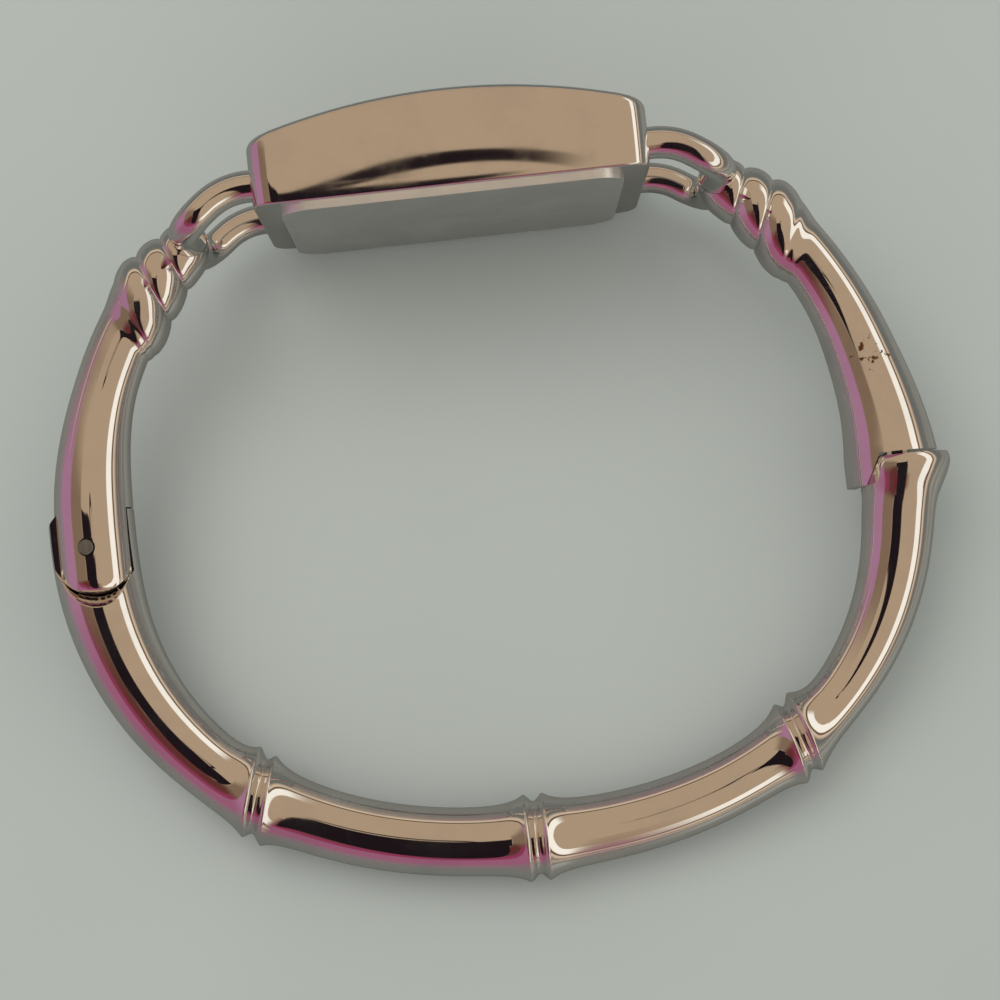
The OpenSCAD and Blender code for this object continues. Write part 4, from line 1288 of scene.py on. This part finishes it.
    def cut_clasp_end(self, arm: Piece) -> None:
        """Cuts the end face, the lip and the spring tongue's pocket.

        Args:
            arm: The arm, changed in place.
        """
        z = self.sizes
        face = z.hinge_y + z.clasp_gap / 2
        beside = lip_side(z, 0.0, 0.0, outside=True)
        left, right, far = z.upper_end_x - z.past, z.upper_end_x + z.past, z.past
        combine(beside, box((left, face - far, -far), (right, face, far)), "INTERSECT")
        combine(arm, beside)
        lip_end = z.hinge_y - z.lip_length
        combine(arm, box((left, lip_end - far, -far), (right, lip_end, far)))
        half = z.leaf_fold_t / 2 + z.leaf_fit
        wide = z.leaf_w / 2 + z.leaf_fit
        combine(arm, box((z.leaf_x - half, face - 1, -wide),
                         (z.leaf_x + half, face + z.leaf_rise + z.leaf_fit, wide)))

    def cut_hinge_end(self, arm: Piece) -> None:
        """Cuts the two round cheeks, the slot between them and the pin's bore.

        Args:
            arm: The arm, changed in place.
        """
        z = self.sizes
        px, py = z.pin
        beside = z.past - 1
        below = box((px - beside, py - beside, -z.past), (px + beside, py, z.past))
        combine(below, cheek_outline(z, 0.0, z.through))
        combine(arm, below)
        half = z.slot_t / 2
        combine(arm, rod((px, py, 0), z.knuckle_r + z.hinge_gap, z.slot_t))
        combine(arm, box((px - beside, py - beside, -half), (px + beside, py + 0.001, half)))
        combine(arm, box((px + z.horn_from - z.hinge_gap, py - 1, -half),
                         (px + beside, py + z.horn_top + z.hinge_gap, half)))
        combine(arm, rod((px, py, 0), z.pin_d / 2 + z.bore_fit, z.through))
        near, far = z.pin_d / 2 - z.chamfer_from, z.pin_d / 2 + z.chamfer_to
        for side in (-1, 1):
            first, last = (near, far) if side > 0 else (far, near)
            at = (px, py, side * z.cheek_d / 2)
            combine(arm, rod(at, first, z.chamfer_length, "Z", last, vertices=90))


def cheek_outline(sizes: BangleSizes, gap: float, depth: float) -> Piece:
    """Round bar whose outline holds the cheeks' ends, grown by a gap.

    Args:
        sizes: The shared sizes.
        gap: Distance by which the outline grows.
        depth: Its length along Z.

    Returns:
        The bar.
    """
    px, py = sizes.pin
    dx, dy = sizes.cheek_shift
    bar = rod((px, py, 0.0), sizes.cheek_end_r + gap, depth, vertices=160)
    end = rod((px + dx, py + dy, 0.0), sizes.cheek_round_r + gap, depth + 1, vertices=160)
    return combine(bar, end, "INTERSECT")


def lip_side(sizes: BangleSizes, gap: float, end_gap: float, outside: bool) -> Piece:
    """Block on one side of the lip's slanted face.

    Args:
        sizes: The shared sizes.
        gap: Distance by which the face is moved outwards.
        end_gap: Distance past the lip's end, where the block is the inner one.
        outside: True for the block outside the lip, False for the one that holds the lip.

    Returns:
        The block.
    """
    z = sizes
    slant = math.atan2(z.lip_root_t - z.lip_end_t, z.lip_length)
    x, y = z.flare_in_x + z.lip_root_t + gap, z.hinge_y
    span = (0.0, 12.0) if outside else (-12.0, 0.0)
    block = box((span[0], -12, -9), (span[1], 12, 9))
    block.rotation_euler = (0, 0, -slant)
    block.location = (x * MM, y * MM, 0)
    settle(block)
    if not outside:
        combine(block, box((x - 14, y - z.lip_length - end_gap, -9.5), (x + 14, y + 0.9, 9.5)), "INTERSECT")
    return block


class LowerBangle:
    """The lower bangle: three double-ridged nodes, the hinge's cup and tongue, and the clasp's flare."""

    def __init__(self, sizes: BangleSizes) -> None:
        """Draws the route from the hinge to the clasp.

        Args:
            sizes: The shared sizes.
        """
        self.sizes = z = sizes
        steps = SECTIONS.quarter_steps
        curve = []
        for start, count, half_w, fullness in (
                (180, steps, z.low_hinge_w + z.low_offset, z.hinge_fullness),
                (270, steps + 1, z.low_clasp_w - z.low_offset, z.clasp_fullness)):
            for i in range(count):
                x, y = oval_point(start + 90 * i / steps, half_w, z.low_drop, fullness)
                curve.append((x + z.low_offset, y))
        self.route = Route([(-z.low_hinge_w, z.low_start)] + curve)
        self.total = self.route.total - z.clasp_gap / 2
        self.nodes = [self.route.run_at_x(z.low_offset + x) for x in (-z.node_spread, 0.0, z.node_spread)]

    def node_bump(self, d: float) -> float:
        """Height of a node's double ridge over the tube.

        Args:
            d: Distance from the node's middle in millimetres.

        Returns:
            The height in millimetres.
        """
        z = self.sizes
        half = z.ridge_pitch / 2
        ridge, groove = (z.ridge_d - z.tube_d) / 2, (z.groove_d - z.tube_d) / 2
        if abs(d) > half:
            return ridge * math.exp(-(abs(d) - half) / z.flare_length)
        return groove + (ridge - groove) * (0.5 - 0.5 * math.cos(math.pi * abs(d) / half))

    def radius(self, s: float) -> float:
        """Radius at a running length.

        Args:
            s: Running length in millimetres.

        Returns:
            The radius in millimetres.
        """
        z = self.sizes
        left = self.total - s
        from_hinge = max(0.0, s - z.low_start - z.collar_from) / z.collar_length
        to_hinge = (z.collar_d - z.tube_d) / 2 * max(0.0, 1 - from_hinge) ** z.collar_power
        neck = self.nodes[2]
        share = min(1.0, max(0.0, (s - self.nodes[1]) / (neck - self.nodes[1])))
        slim = (z.tube_d - z.neck_d) / 4 * (share + smooth_step((s - neck) / z.slim_length))
        swell = (z.clasp_d - z.neck_d) / 2 - z.flare_extra
        to_clasp = swell * max(0.0, (s - neck - z.swell_from) / (self.total - neck - z.swell_from))
        flare = z.flare_extra * (1 - smooth_step((left - z.edge_length) / z.clasp_flare))
        edge = z.edge_round * max(0.0, 1 - left / z.edge_length) ** 2
        bumps = sum(self.node_bump(s - c) for c in self.nodes if abs(s - c) < z.node_reach)
        return z.tube_d / 2 + to_hinge - slim + to_clasp + flare - edge + bumps

    def ring(self, s: float) -> Ring:
        """Section at a running length, in the frame.

        Args:
            s: Running length in millimetres.

        Returns:
            The section.
        """
        z = self.sizes
        x, y = self.route.at(s)
        slope = self.route.slope(min(s, self.total - z.slope_reach)) if s > z.low_start else -90.0
        near = sum(1 - smooth_step((abs(s - c) - z.node_flat) / z.node_fade) for c in self.nodes)
        lean = z.lower_lean * (1 - smooth_step((self.total - s) / z.lean_length))
        return Ring(x + lean, y + z.hinge_y, slope, slope * z.ring_lean * near, self.radius(s))

    def stations(self) -> list[float]:
        """Running lengths of the sections, closer together at the nodes and the flare.

        Returns:
            The running lengths in order.
        """
        reach, last, n = SECTIONS.node[-1], self.sizes.low_start, SECTIONS.between
        around = sorted({-h for h in SECTIONS.node} | set(SECTIONS.node))
        out = list(SECTIONS.at_hinge)
        for c in self.nodes:
            out += [last + (c - reach - last) * i / n for i in range(n)]
            out += [c + d for d in around[:-1]]
            last = c + reach
        out += [last + (self.total - SECTIONS.at_clasp[0] - last) * i / n for i in range(n)]
        return out + [self.total - d for d in SECTIONS.at_clasp]

    def build(self, book: FinishBook) -> Piece:
        """Makes the lower bangle.

        Args:
            book: The finishes.

        Returns:
            The finished piece.
        """
        z = self.sizes
        px, py = z.pin
        tube = soften(sweep("lower_bangle_tube", [self.ring(s) for s in self.stations()]))
        combine(tube, self.hinge_room())
        combine(tube, rod((px, py, 0), z.pin_d / 2 + z.pin_fit, z.through))
        combine(tube, lip_side(z, z.lip_gap, z.lip_end_gap, outside=False))
        face = z.hinge_y - z.clasp_gap / 2
        half, wide = z.leaf_fold_t / 2, z.leaf_w / 2
        combine(tube, box((z.leaf_x - half, face - z.leaf_seat, -wide), (z.leaf_x + half, face + 1, wide)))
        combine(tube, rod((z.leaf_x, face - z.leaf_seat / 2, 0), z.rivet_d / 2, z.rivet_len, vertices=48))
        return hand_over(tube, "lower_bangle_tube", "lower_bangle", "polished_steel", ["lower_bangle"], book)

    def hinge_room(self) -> Piece:
        """All that is cut away at the hinge: over the knuckle, beside the tongue and at the cup's rim.

        Returns:
            The cutter.
        """
        z = self.sizes
        px, py = z.pin
        dx, dy = z.cheek_shift
        room = box((px - 7.9, py - z.shoulder_drop, -8.5), (px + 7.9, py + 7.8, 8.5))
        combine(room, cheek_outline(z, z.hinge_gap, 20), "UNION")
        top = z.collar_d / 2
        low_r, high_r = z.cheek_round_r - 0.05, z.cheek_round_r + z.rim_w
        for side in (-1, 1):
            first, last = (low_r, high_r) if side > 0 else (high_r, low_r)
            at = (px + dx, py + dy, side * (top - z.rim_depth / 2 + 0.01))
            combine(room, rod(at, first, z.rim_depth, "Z", last, vertices=149), "UNION")
        combine(room, box((px - 11, py - 11, -z.tongue_t / 2), (px + 11, py + 11, z.tongue_t / 2)))
        over = box((px - 8, py, -9), (px + 8, py + 8, 9))
        combine(over, rod((px, py, 0), z.knuckle_r, 21, vertices=160))
        combine(over, box((px + z.horn_from, py - 1, -9.7), (px + 9, py + z.horn_top, 9.7)))
        return combine(room, over, "UNION")


class Stirrup:
    """Bent rod between the case's end and the first bead's eye."""

    def __init__(self, sizes: BangleSizes, arm: UpperArm) -> None:
        """Works out the bend from the eye's place.

        Args:
            sizes: The shared sizes.
            arm: The arm that it carries.
        """
        self.sizes = z = sizes
        self.arm = arm
        self.eye = arm.eye()
        reach = z.corner_r + z.link_len
        rise = self.eye[1] - z.leg_y + z.leg_bend_r
        self.bend = math.acos(rise / math.hypot(z.leg_bend_r, reach)) - math.atan2(reach, z.leg_bend_r)
        self.bend_x = self.eye[0] - z.leg_bend_r * math.sin(self.bend) - reach * math.cos(self.bend)

    def build(self, book: FinishBook) -> Piece:
        """Makes the stirrup.

        Args:
            book: The finishes.

        Returns:
            The finished piece.
        """
        z = self.sizes
        side = 1 if self.arm.at_clasp else -1
        name = "clasp_side_stirrup" if side > 0 else "hinge_side_stirrup"
        deselect()
        half = z.stirrup_span / 2
        bpy.ops.mesh.primitive_circle_add(vertices=32, radius=z.stirrup_d / 2 * MM, fill_type="NGON",
                                          location=(z.leg_from_x * MM, z.leg_y * MM, half * MM),
                                          rotation=(0, math.pi / 2, 0))
        bar = settle(bpy.context.object)
        mode("EDIT")
        mark("SELECT")
        for _ in range(3):
            extrude((self.bend_x - z.leg_from_x) / 3 * MM, 0)
        centre = (self.bend_x * MM, (z.leg_y - z.leg_bend_r) * MM, half * MM)
        bpy.ops.mesh.spin(steps=14, angle=self.bend, center=centre, axis=(0, 0, 1))
        along = Vector((math.cos(self.bend), -math.sin(self.bend), 0))
        extrude(*(along * z.link_len * MM))
        out = Vector((math.sin(self.bend), math.cos(self.bend), 0))
        end = Vector(centre) + (out * z.leg_bend_r + along * z.link_len) * MM
        corner = end - Vector((0, 0, z.corner_r * MM))
        bpy.ops.mesh.spin(steps=14, angle=-math.pi / 2, center=corner, axis=out)
        extrude(0, 0, -(half - z.corner_r) * MM)
        bpy.ops.mesh.delete(type="ONLY_FACE")
        mode("OBJECT")
        modified(bar, "MIRROR", use_axis=(False, False, True), merge_threshold=1e-6)
        if side < 0:
            mirror_x()
        put_in_order(face_outwards(bar))
        node = "right_stirrup" if side > 0 else "left_stirrup"
        return hand_over(bar, name, "watch_head", "polished_steel", [node], book)


# ---------------------------------------------------------------- the case


@dataclass(frozen=True)
class CaseSizes:
    """Sizes of the case middle, in millimetres."""

    length: float = 30.9
    width: float = 20.8
    end_h: float = 5.85
    apex_h: float = 8.3
    corner_r: float = 1.9
    rim_r: float = 0.75
    base: float = 0.7
    flank_swell: float = 0.16
    end_swell: float = 0.08
    end_wall: float = 3.2
    side_wall: float = 2.5
    window_len: float = 22.4
    window_w: float = 12.8
    window_r: float = 1.4
    crystal_t: float = 1.1
    crystal_seat: float = 0.6
    dial_ledge: float = 4.5
    stem_h: float = 3.0
    tube_r: float = 1.11
    cavity_r: float = 1.2
    lower_edge: float = 0.35
    crease: float = 55.0
    sharp: float = 38.0
    leg_bore: float = 10.0
    leg_bore_from: float = 5.0

    @property
    def arch_r(self) -> float:
        """Radius of the arched top."""
        sag = self.apex_h - self.end_h
        return ((self.length / 2) ** 2 + sag ** 2) / (2 * sag)

    def top_at(self, x: float) -> float:
        """Height of the arched top at a distance from the middle."""
        return self.apex_h - self.arch_r + math.sqrt(self.arch_r ** 2 - x * x)


class CaseMiddle:
    """Case middle with an arched top, soft rim and faintly crowned flanks."""

    columns = 28
    levels = (0.7, 0.95, 1.4, 2.2, 3.1, 4.1, 5.0)

    def __init__(self, sizes: CaseSizes, bangle: BangleSizes) -> None:
        """Keeps the sizes."""
        self.sizes = sizes
        self.bangle = bangle

    def select(self, piece: Piece, wanted: Callable[[Vector], bool]) -> None:
        """Selects the vertices that pass a test, in edit mode.

        Args:
            piece: The piece.
            wanted: The test, which takes a place in millimetres.
        """
        mode("EDIT")
        bpy.ops.mesh.select_mode(type="VERT")
        mark("DESELECT")
        mode("OBJECT")
        for v in piece.data.vertices:
            v.select = wanted(v.co / MM)
        mode("EDIT")

    def shell(self) -> Piece:
        """Block with rounded corners, arched at the top and crowned at the flanks.

        Returns:
            The block.
        """
        z = self.sizes
        block = rounded_bar(z.length, z.width, z.corner_r, z.base, z.end_h)
        block.name = "case_shell"
        mode("EDIT")
        cuts = [((z.length * (i / self.columns - 0.5) * MM, 0, 0), (1, 0, 0)) for i in range(1, self.columns)]
        cuts += [((0, h * MM, 0), (0, 1, 0)) for h in self.levels[1:]]
        for place, normal in cuts:
            mark("SELECT")
            bpy.ops.mesh.bisect(plane_co=place, plane_no=normal)
        mode("OBJECT")
        top = z.end_h - 0.01
        for x in sorted({round(v.co.x / MM, 3) for v in block.data.vertices if v.co.y / MM > top}):
            self.select(block, lambda v: abs(v.x - x) < 0.002 and v.y > top)
            bpy.ops.transform.translate(value=(0, (z.top_at(x) - z.end_h) * MM, 0))
        middle = (z.base + z.apex_h) / 2
        for level in (*self.levels, z.end_h):
            last = level == z.end_h
            self.select(block, lambda v: v.y > top if last else abs(v.y - level) < 0.01)
            away = ((level - middle) / (z.apex_h - middle)) ** 2
            narrower = 1 - z.end_swell * away / (z.length / 2), 1, 1 - z.flank_swell * away / (z.width / 2)
            bpy.ops.transform.resize(value=narrower, center_override=(0, 0, 0))
        mode("OBJECT")
        return block

    def soften_rim(self, block: Piece) -> None:
        """Rounds the top rim and breaks the lower edge.

        Args:
            block: The block, changed in place.
        """
        z = self.sizes
        mesh = block.data
        weights = mesh.attributes.new("bevel_weight_edge", "FLOAT", "EDGE")
        side_of: dict[tuple[int, int], list[Vector]] = {}
        for face in mesh.polygons:
            for key in face.edge_keys:
                side_of.setdefault(key, []).append(face.normal)
        for edge in mesh.edges:
            normals = side_of.get(tuple(sorted(edge.vertices)), [])
            if len(normals) != 2 or normals[0].angle(normals[1]) < math.radians(z.crease):
                continue
            height = min(mesh.vertices[i].co.y for i in edge.vertices) / MM
            weights.data[edge.index].value = 1.0 if height > z.end_h - 0.5 else z.lower_edge
        modified(block, "BEVEL", width=z.rim_r * MM, segments=6, limit_method="WEIGHT")

    def build(self, book: FinishBook) -> Piece:
        """Makes the case middle with its openings.

        Args:
            book: The finishes.

        Returns:
            The finished piece.
        """
        z = self.sizes
        block = self.shell()
        self.soften_rim(block)
        face_outwards(block)
        cavity_l, cavity_w = z.length - 2 * z.end_wall, z.width - 2 * z.side_wall
        combine(block, rounded_bar(cavity_l, cavity_w, z.cavity_r, -1, z.dial_ledge))
        combine(block, rounded_bar(z.window_len, z.window_w, z.window_r, z.dial_ledge - 1, 20))
        seat = rounded_bar(z.window_len + 2 * z.crystal_seat, z.window_w + 2 * z.crystal_seat,
                           z.window_r + z.crystal_seat, z.dial_ledge, 20)
        inner = z.arch_r - z.crystal_t
        combine(seat, rod((0, z.apex_h - z.arch_r, 0), inner, 60, vertices=720))
        combine(block, seat)
        b = self.bangle
        for side in (-1, 1):
            for leg in (-1, 1):
                at = (side * (b.leg_from_x + z.leg_bore_from), b.leg_y, leg * b.stirrup_span / 2)
                combine(block, rod(at, b.stirrup_d / 2 + b.bore_fit, z.leg_bore, "X"))
        combine(block, rod((0, z.stem_h, -10), z.tube_r, 7, "Z", vertices=64))
        return hand_over(block, "case_shell", "watch_head", "polished_steel", ["case_middle"], book, z.sharp)


def rounded_bar(length: float, width: float, r: float, low: float, high: float) -> Piece:
    """Upright bar with a rounded rectangle as its plan.

    Args:
        length: Its size along X.
        width: Its size along Z.
        r: Radius of its corners.
        low: Height of its underside.
        high: Height of its top.

    Returns:
        The bar.
    """
    bar = box((-length / 2, low, -width / 2), (length / 2, high, width / 2))
    mode("EDIT")
    bpy.ops.mesh.select_mode(type="EDGE")
    mark("DESELECT")
    mode("OBJECT")
    for edge in bar.data.edges:
        a, b = (bar.data.vertices[i].co for i in edge.vertices)
        edge.select = abs(a.x - b.x) < 1e-6 and abs(a.z - b.z) < 1e-6
    mode("EDIT")
    bpy.ops.mesh.bevel(offset=r * MM, segments=8)
    mode("OBJECT")
    return bar


class Watch:
    """The whole object: new pieces, and finishes for the CAD nodes that stay."""

    def __init__(self, book: FinishBook) -> None:
        """Keeps the finishes and takes the sizes.

        Args:
            book: The finishes.
        """
        self.book = book
        self.bangle = BangleSizes()
        self.case = CaseSizes()

    def build(self) -> None:
        """Builds the sub-assemblies in order."""
        clasp_arm = UpperArm(self.bangle, True)
        hinge_arm = UpperArm(self.bangle, False)
        for part in (CaseMiddle(self.case, self.bangle), Stirrup(self.bangle, clasp_arm),
                     Stirrup(self.bangle, hinge_arm), clasp_arm, hinge_arm, LowerBangle(self.bangle)):
            part.build(self.book)

    def dress_nodes(self) -> None:
        """Gives every CAD node its finish from the record."""
        slots = {row["node"]: row["material_slot"] for row in frame["record"]["subparts"]}
        for name, node in frame["nodes"].items():
            self.book.dress(node, slots[name])
            log.info("node %s: %s", name, slots[name])


# ---------------------------------------------------------------- the studio


@dataclass(frozen=True)
class CameraSpot:
    """Camera of the photograph: place, roll and lens, in millimetres, degrees and pixels."""

    aim: Flat = (1.122, -23.04)
    lean: Flat = (-0.00954, -0.0591)
    roll: float = 6.305
    distance: float = 187.5
    focal_px: float = 2344.0
    frame_px: float = 1000.0
    sensor: float = 36.0

    def build(self) -> None:
        """Places the camera."""
        away = Vector((*self.lean, 1)).normalized()
        right = Vector((0, 1, 0)).cross(away).normalized()
        up = away.cross(right)
        turn = math.radians(self.roll)
        x_axis = right * math.cos(turn) - up * math.sin(turn)
        y_axis = right * math.sin(turn) + up * math.cos(turn)
        place = (Vector((*self.aim, 0)) + away * self.distance) * MM
        data = bpy.data.cameras.new("photo_camera")
        data.lens = self.focal_px / self.frame_px * self.sensor
        data.sensor_width = self.sensor
        data.clip_start, data.clip_end = 0.005, 20.0
        camera = bpy.data.objects.new("photo_camera", data)
        camera.matrix_world = Matrix.Translation(place) @ Matrix((x_axis, y_axis, away)).transposed().to_4x4()
        bpy.context.scene.collection.objects.link(camera)
        bpy.context.scene.camera = camera


@dataclass(frozen=True)
class Room:
    """What the polished metal mirrors, drawn on the sky by height and compass direction.

    A place in the sky is given by its reach, which is 0 overhead and 1 at the horizon, and by its
    compass angle in degrees from +X towards +Y. A sector is an angle and the two angles off it at
    which its mask fades. A band is a span, and a _from or _to pair is where a mask rises or falls.
    """

    tan: Colour = (0.44, 0.325, 0.22)
    brown: Colour = (0.22, 0.145, 0.095)
    cream: Colour = (0.62, 0.5, 0.39)
    white: Colour = (1.0, 0.95, 0.86)
    umber: Colour = (0.085, 0.05, 0.033)
    maroon: Colour = (0.15, 0.018, 0.026)
    magenta: Colour = (0.26, 0.042, 0.095)
    lilac: Colour = (0.38, 0.185, 0.29)
    black: Colour = (0.012, 0.007, 0.009)
    grey: Colour = (0.15, 0.155, 0.147)
    plain: Colour = (0.84, 0.87, 0.84)
    overhead: float = 0.9
    level: float = 0.5
    dark_side: Sector = (215, 50, 78)
    dark_low: Sector = (238, 28, 55)
    white_side: Sector = (-8, 55, 75)
    dark_from: Flat = (0.23, 0.27)
    white_band: Flat = (0.46, 0.65)
    magenta_band: Flat = (0.46, 0.62)
    violet_from: Flat = (0.55, 0.6)
    umber_band: Flat = (0.67, 0.71)
    cream_band: Flat = (0.73, 0.8)
    grey_from: Flat = (0.82, 0.88)
    streak: Flat = (0.06, 0.084)
    streak_middle: float = -0.005
    streak_bend: float = 40.0
    streak_from: Flat = (-0.06, -0.04)
    streak_to: Flat = (0.012, 0.03)
    strip: Flat = (-0.24, 0.01)
    strip_slope: float = -0.13
    strip_top: float = 0.036
    strip_from: Flat = (-0.14, -0.1)
    wedge_reach: float = 0.22
    wedge_more: float = 0.3
    wedge_side: Flat = (0.02, 0.0)
    wedge_from: Flat = (-0.02, -0.04)

    def sector(self, w: Wiring, x: object, y: object, where: Sector) -> Socket:
        """Mask of the sky round one compass direction.

        Args:
            w: The world's wiring.
            x: The place's x.
            y: The place's y.
            where: The direction, and the angles off it at which the mask leaves 1 and reaches 0.

        Returns:
            The mask.
        """
        turn, inner, outer = (math.radians(a) for a in where)
        along = w.scaled(x, math.cos(turn), w.times(y, math.sin(turn)))
        reach = w.math("SQRT", w.scaled(x, x, w.scaled(y, y, 1e-6)))
        return w.ramp(w.over(along, reach), math.cos(outer), math.cos(inner))

    def band(self, w: Wiring, value: object, span: Flat, soft: float) -> Socket:
        """Mask that is 1 within a span, with soft edges."""
        rise, fall = (w.ramp(value, edge - soft, edge + soft) for edge in span)
        return w.minus(rise, fall, clamp=True)

    def dark_shape(self, w: Wiring, x: object, y: object, reach: object) -> Socket:
        """Mask of the dark shapes overhead: a bent strip, a slanted one and a wedge that widens towards -Y.

        Args:
            w: The world's wiring.
            x: The place's x.
            y: The place's y.
            reach: Its distance from the point overhead.

        Returns:
            The mask.
        """
        bend = w.times(w.math("POWER", w.minus(x, self.streak_middle), 2.0), self.streak_bend)
        streak = self.band(w, w.plus(y, bend), self.streak, 0.002)
        streak = w.times(streak, w.minus(1.0, w.ramp(x, *self.streak_to)))
        streak = w.times(streak, w.ramp(x, *self.streak_from))
        under = w.minus(w.scaled(x, self.strip_slope, self.strip_top), y)
        strip = w.times(self.band(w, x, self.strip, 0.006), w.ramp(under, 0.0, 0.005))
        strip = w.times(strip, w.ramp(y, *self.strip_from))
        down = w.over(w.times(w.math("MINIMUM", y, 0.0), -1.0), w.larger(reach, 0.001))
        limit = w.scaled(w.math("POWER", down, 4.0), self.wedge_more, self.wedge_reach)
        wedge = w.times(w.ramp(w.minus(limit, reach), -0.01, 0.01), w.ramp(x, *self.wedge_side))
        wedge = w.times(wedge, w.ramp(y, *self.wedge_from))
        return w.larger(w.larger(streak, strip), wedge)

    def paint(self, w: Wiring, ray: Socket) -> Socket:
        """Colour of the sky in a direction.

        Args:
            w: The world's wiring.
            ray: The direction.

        Returns:
            The colour.
        """
        right, up, out = w.split(ray)
        below = w.larger(w.plus(out, 1.0), 0.02)
        wobble = w.scaled(w.noise(ray, 2.6), 0.05, -0.025)
        x = w.plus(w.over(right, below), wobble)
        y = w.minus(w.over(up, below), wobble)
        reach = w.math("SQRT", w.scaled(x, x, w.times(y, y)))
        streaks = w.merge(w.times(reach, 26.0), w.math("ARCTAN2", y, x))
        lines = w.ramp(w.noise(streaks, 1.0, detail=1.0), 0.4, 0.66)
        sectors = self.dark_side, self.dark_low, self.white_side
        side, low, pale = (self.sector(w, x, y, where) for where in sectors)
        away = w.minus(1.0, side)
        dark = w.mix(low, self.brown, w.mix(lines, self.maroon, self.umber))
        violet = w.mix(low, self.lilac, w.mix(0.5, self.magenta, self.lilac))
        belt = w.times(low, self.band(w, reach, self.magenta_band, 0.03))
        shade = self.tan
        for mask, colour in (
                (w.times(pale, self.band(w, reach, self.white_band, 0.01)), self.white),
                (w.times(side, w.ramp(reach, *self.dark_from)), dark),
                (w.times(side, belt), self.magenta),
                (w.times(side, w.ramp(reach, *self.violet_from)), violet),
                (self.dark_shape(w, x, y, reach), self.black),
                (w.times(away, self.band(w, reach, self.umber_band, 0.01)), self.umber),
                (w.times(away, self.band(w, reach, self.cream_band, 0.01)), self.cream),
                (w.times(away, w.ramp(reach, *self.grey_from)), self.grey)):
            shade = w.mix(mask, shade, colour)
        return shade

    def build(self) -> None:
        """Makes the world: plain light and background, and the room for mirrored rays alone."""
        world = bpy.data.worlds.new("room")
        bpy.context.scene.world = world
        world.use_nodes = True
        w = Wiring(world.node_tree)
        ray = w.add("ShaderNodeTexCoord").outputs["Generated"]
        path = w.add("ShaderNodeLightPath")
        back = world.node_tree.nodes["Background"]
        up = w.larger(w.split(ray)[2], 0.0)
        light = w.scaled(w.times(up, up), self.overhead, self.level)
        level = w.add("ShaderNodeVectorMath", operation="SCALE")
        level.inputs[0].default_value = self.plain
        w.join(light, level.inputs["Scale"])
        seen = w.mix(path.outputs["Is Camera Ray"], level.outputs[0], self.plain)
        w.join(w.mix(path.outputs["Is Glossy Ray"], seen, self.paint(w, ray)), back.inputs["Color"])
        back.inputs["Strength"].default_value = 1.0


@dataclass(frozen=True)
class Studio:
    """Pale table with painted shade in its mirrored colour, one soft lamp and the room."""

    table: Colour = (0.46, 0.475, 0.45)
    # Table colour that only mirrored rays see: painted shade, darker than the table, standing in for the
    # contact shadow on the metal's rims.
    table_mirrored_shade: Colour = (0.19, 0.198, 0.187)
    table_size: float = 3.0
    table_rough: float = 0.12
    table_shine: float = 0.5
    clearance: float = 0.00002
    lamp_size: float = 0.5
    lamp_power: float = 1.3
    lamp_at: Place = (-0.25, 0.3, 0.6)
    lamp_aim: Place = (0, -0.023, 0)

    def rest_tilt(self) -> tuple[float, float]:
        """Angle and height of the table on which the crown and the lower bangle rest.

        Returns:
            The table's tilt about X in radians, and its height along its own normal in metres.
        """
        crown = [v.co.copy() for v in frame["nodes"]["crown"].data.vertices]
        tube = [v.co.copy() for v in frame["nodes"]["lower_bangle"].data.vertices]

        def lowest(points: Sequence[Vector], tilt: float) -> float:
            """Lowest point along the tilted normal."""
            return min(p.y * math.sin(tilt) + p.z * math.cos(tilt) for p in points)

        low, high = 0.0, 0.5
        for _ in range(24):
            tilt = (low + high) / 2
            if lowest(crown, tilt) < lowest(tube, tilt):
                low = tilt
            else:
                high = tilt
        return tilt, min(lowest(crown, tilt), lowest(tube, tilt))

    def build_table(self) -> None:
        """Makes the table top."""
        tilt, height = self.rest_tilt()
        deselect()
        bpy.ops.mesh.primitive_plane_add(size=self.table_size)
        top = bpy.context.object
        top.name = "table_top"
        top.rotation_euler = (-tilt, 0, 0)
        top.location = Vector((0, math.sin(tilt), math.cos(tilt))) * (height - self.clearance)
        settle(top)
        material, w, look, place = Finish("table_glass", "").start()
        cloud = w.ramp(w.noise(place, 22.0), 0.3, 0.75)
        tone = w.mix(cloud, dimmed(self.table, 0.95), self.table)
        mirrored = w.add("ShaderNodeLightPath").outputs["Is Glossy Ray"]
        # Mirrored rays see the darker table colour: painted shade on the metal's rims.
        w.fill(look, {"Base Color": w.mix(mirrored, tone, self.table_mirrored_shade), "Roughness": self.table_rough,
                      "Specular IOR Level": w.times(mirrored, self.table_shine)})
        top.data.materials.append(material)
        log.info("table tilted by %.2f degrees", math.degrees(tilt))

    def build_lamp(self) -> None:
        """Places the soft lamp, which the metal doesn't mirror."""
        data = bpy.data.lights.new("key_softbox", "AREA")
        data.shape = "DISK"
        data.size = self.lamp_size
        data.energy = self.lamp_power
        lamp = bpy.data.objects.new("key_softbox", data)
        lamp.location = self.lamp_at
        lamp.visible_glossy = False
        lamp.rotation_euler = (Vector(self.lamp_aim) - lamp.location).to_track_quat("-Z", "Y").to_euler()
        bpy.context.scene.collection.objects.link(lamp)

    def build(self) -> None:
        """Builds the whole studio."""
        self.build_table()
        self.build_lamp()
        Room().build()
        bpy.context.scene.view_settings.view_transform = "Standard"


def main() -> None:
    """Builds the watch in order."""
    logging.basicConfig(level=logging.INFO, format="%(name)s: %(message)s")
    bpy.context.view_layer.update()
    CameraSpot().build()
    book = FinishBook(Effects())
    book.fill()
    watch = Watch(book)
    watch.dress_nodes()
    watch.build()
    Studio().build()


if __name__ == "__main__":
    main()
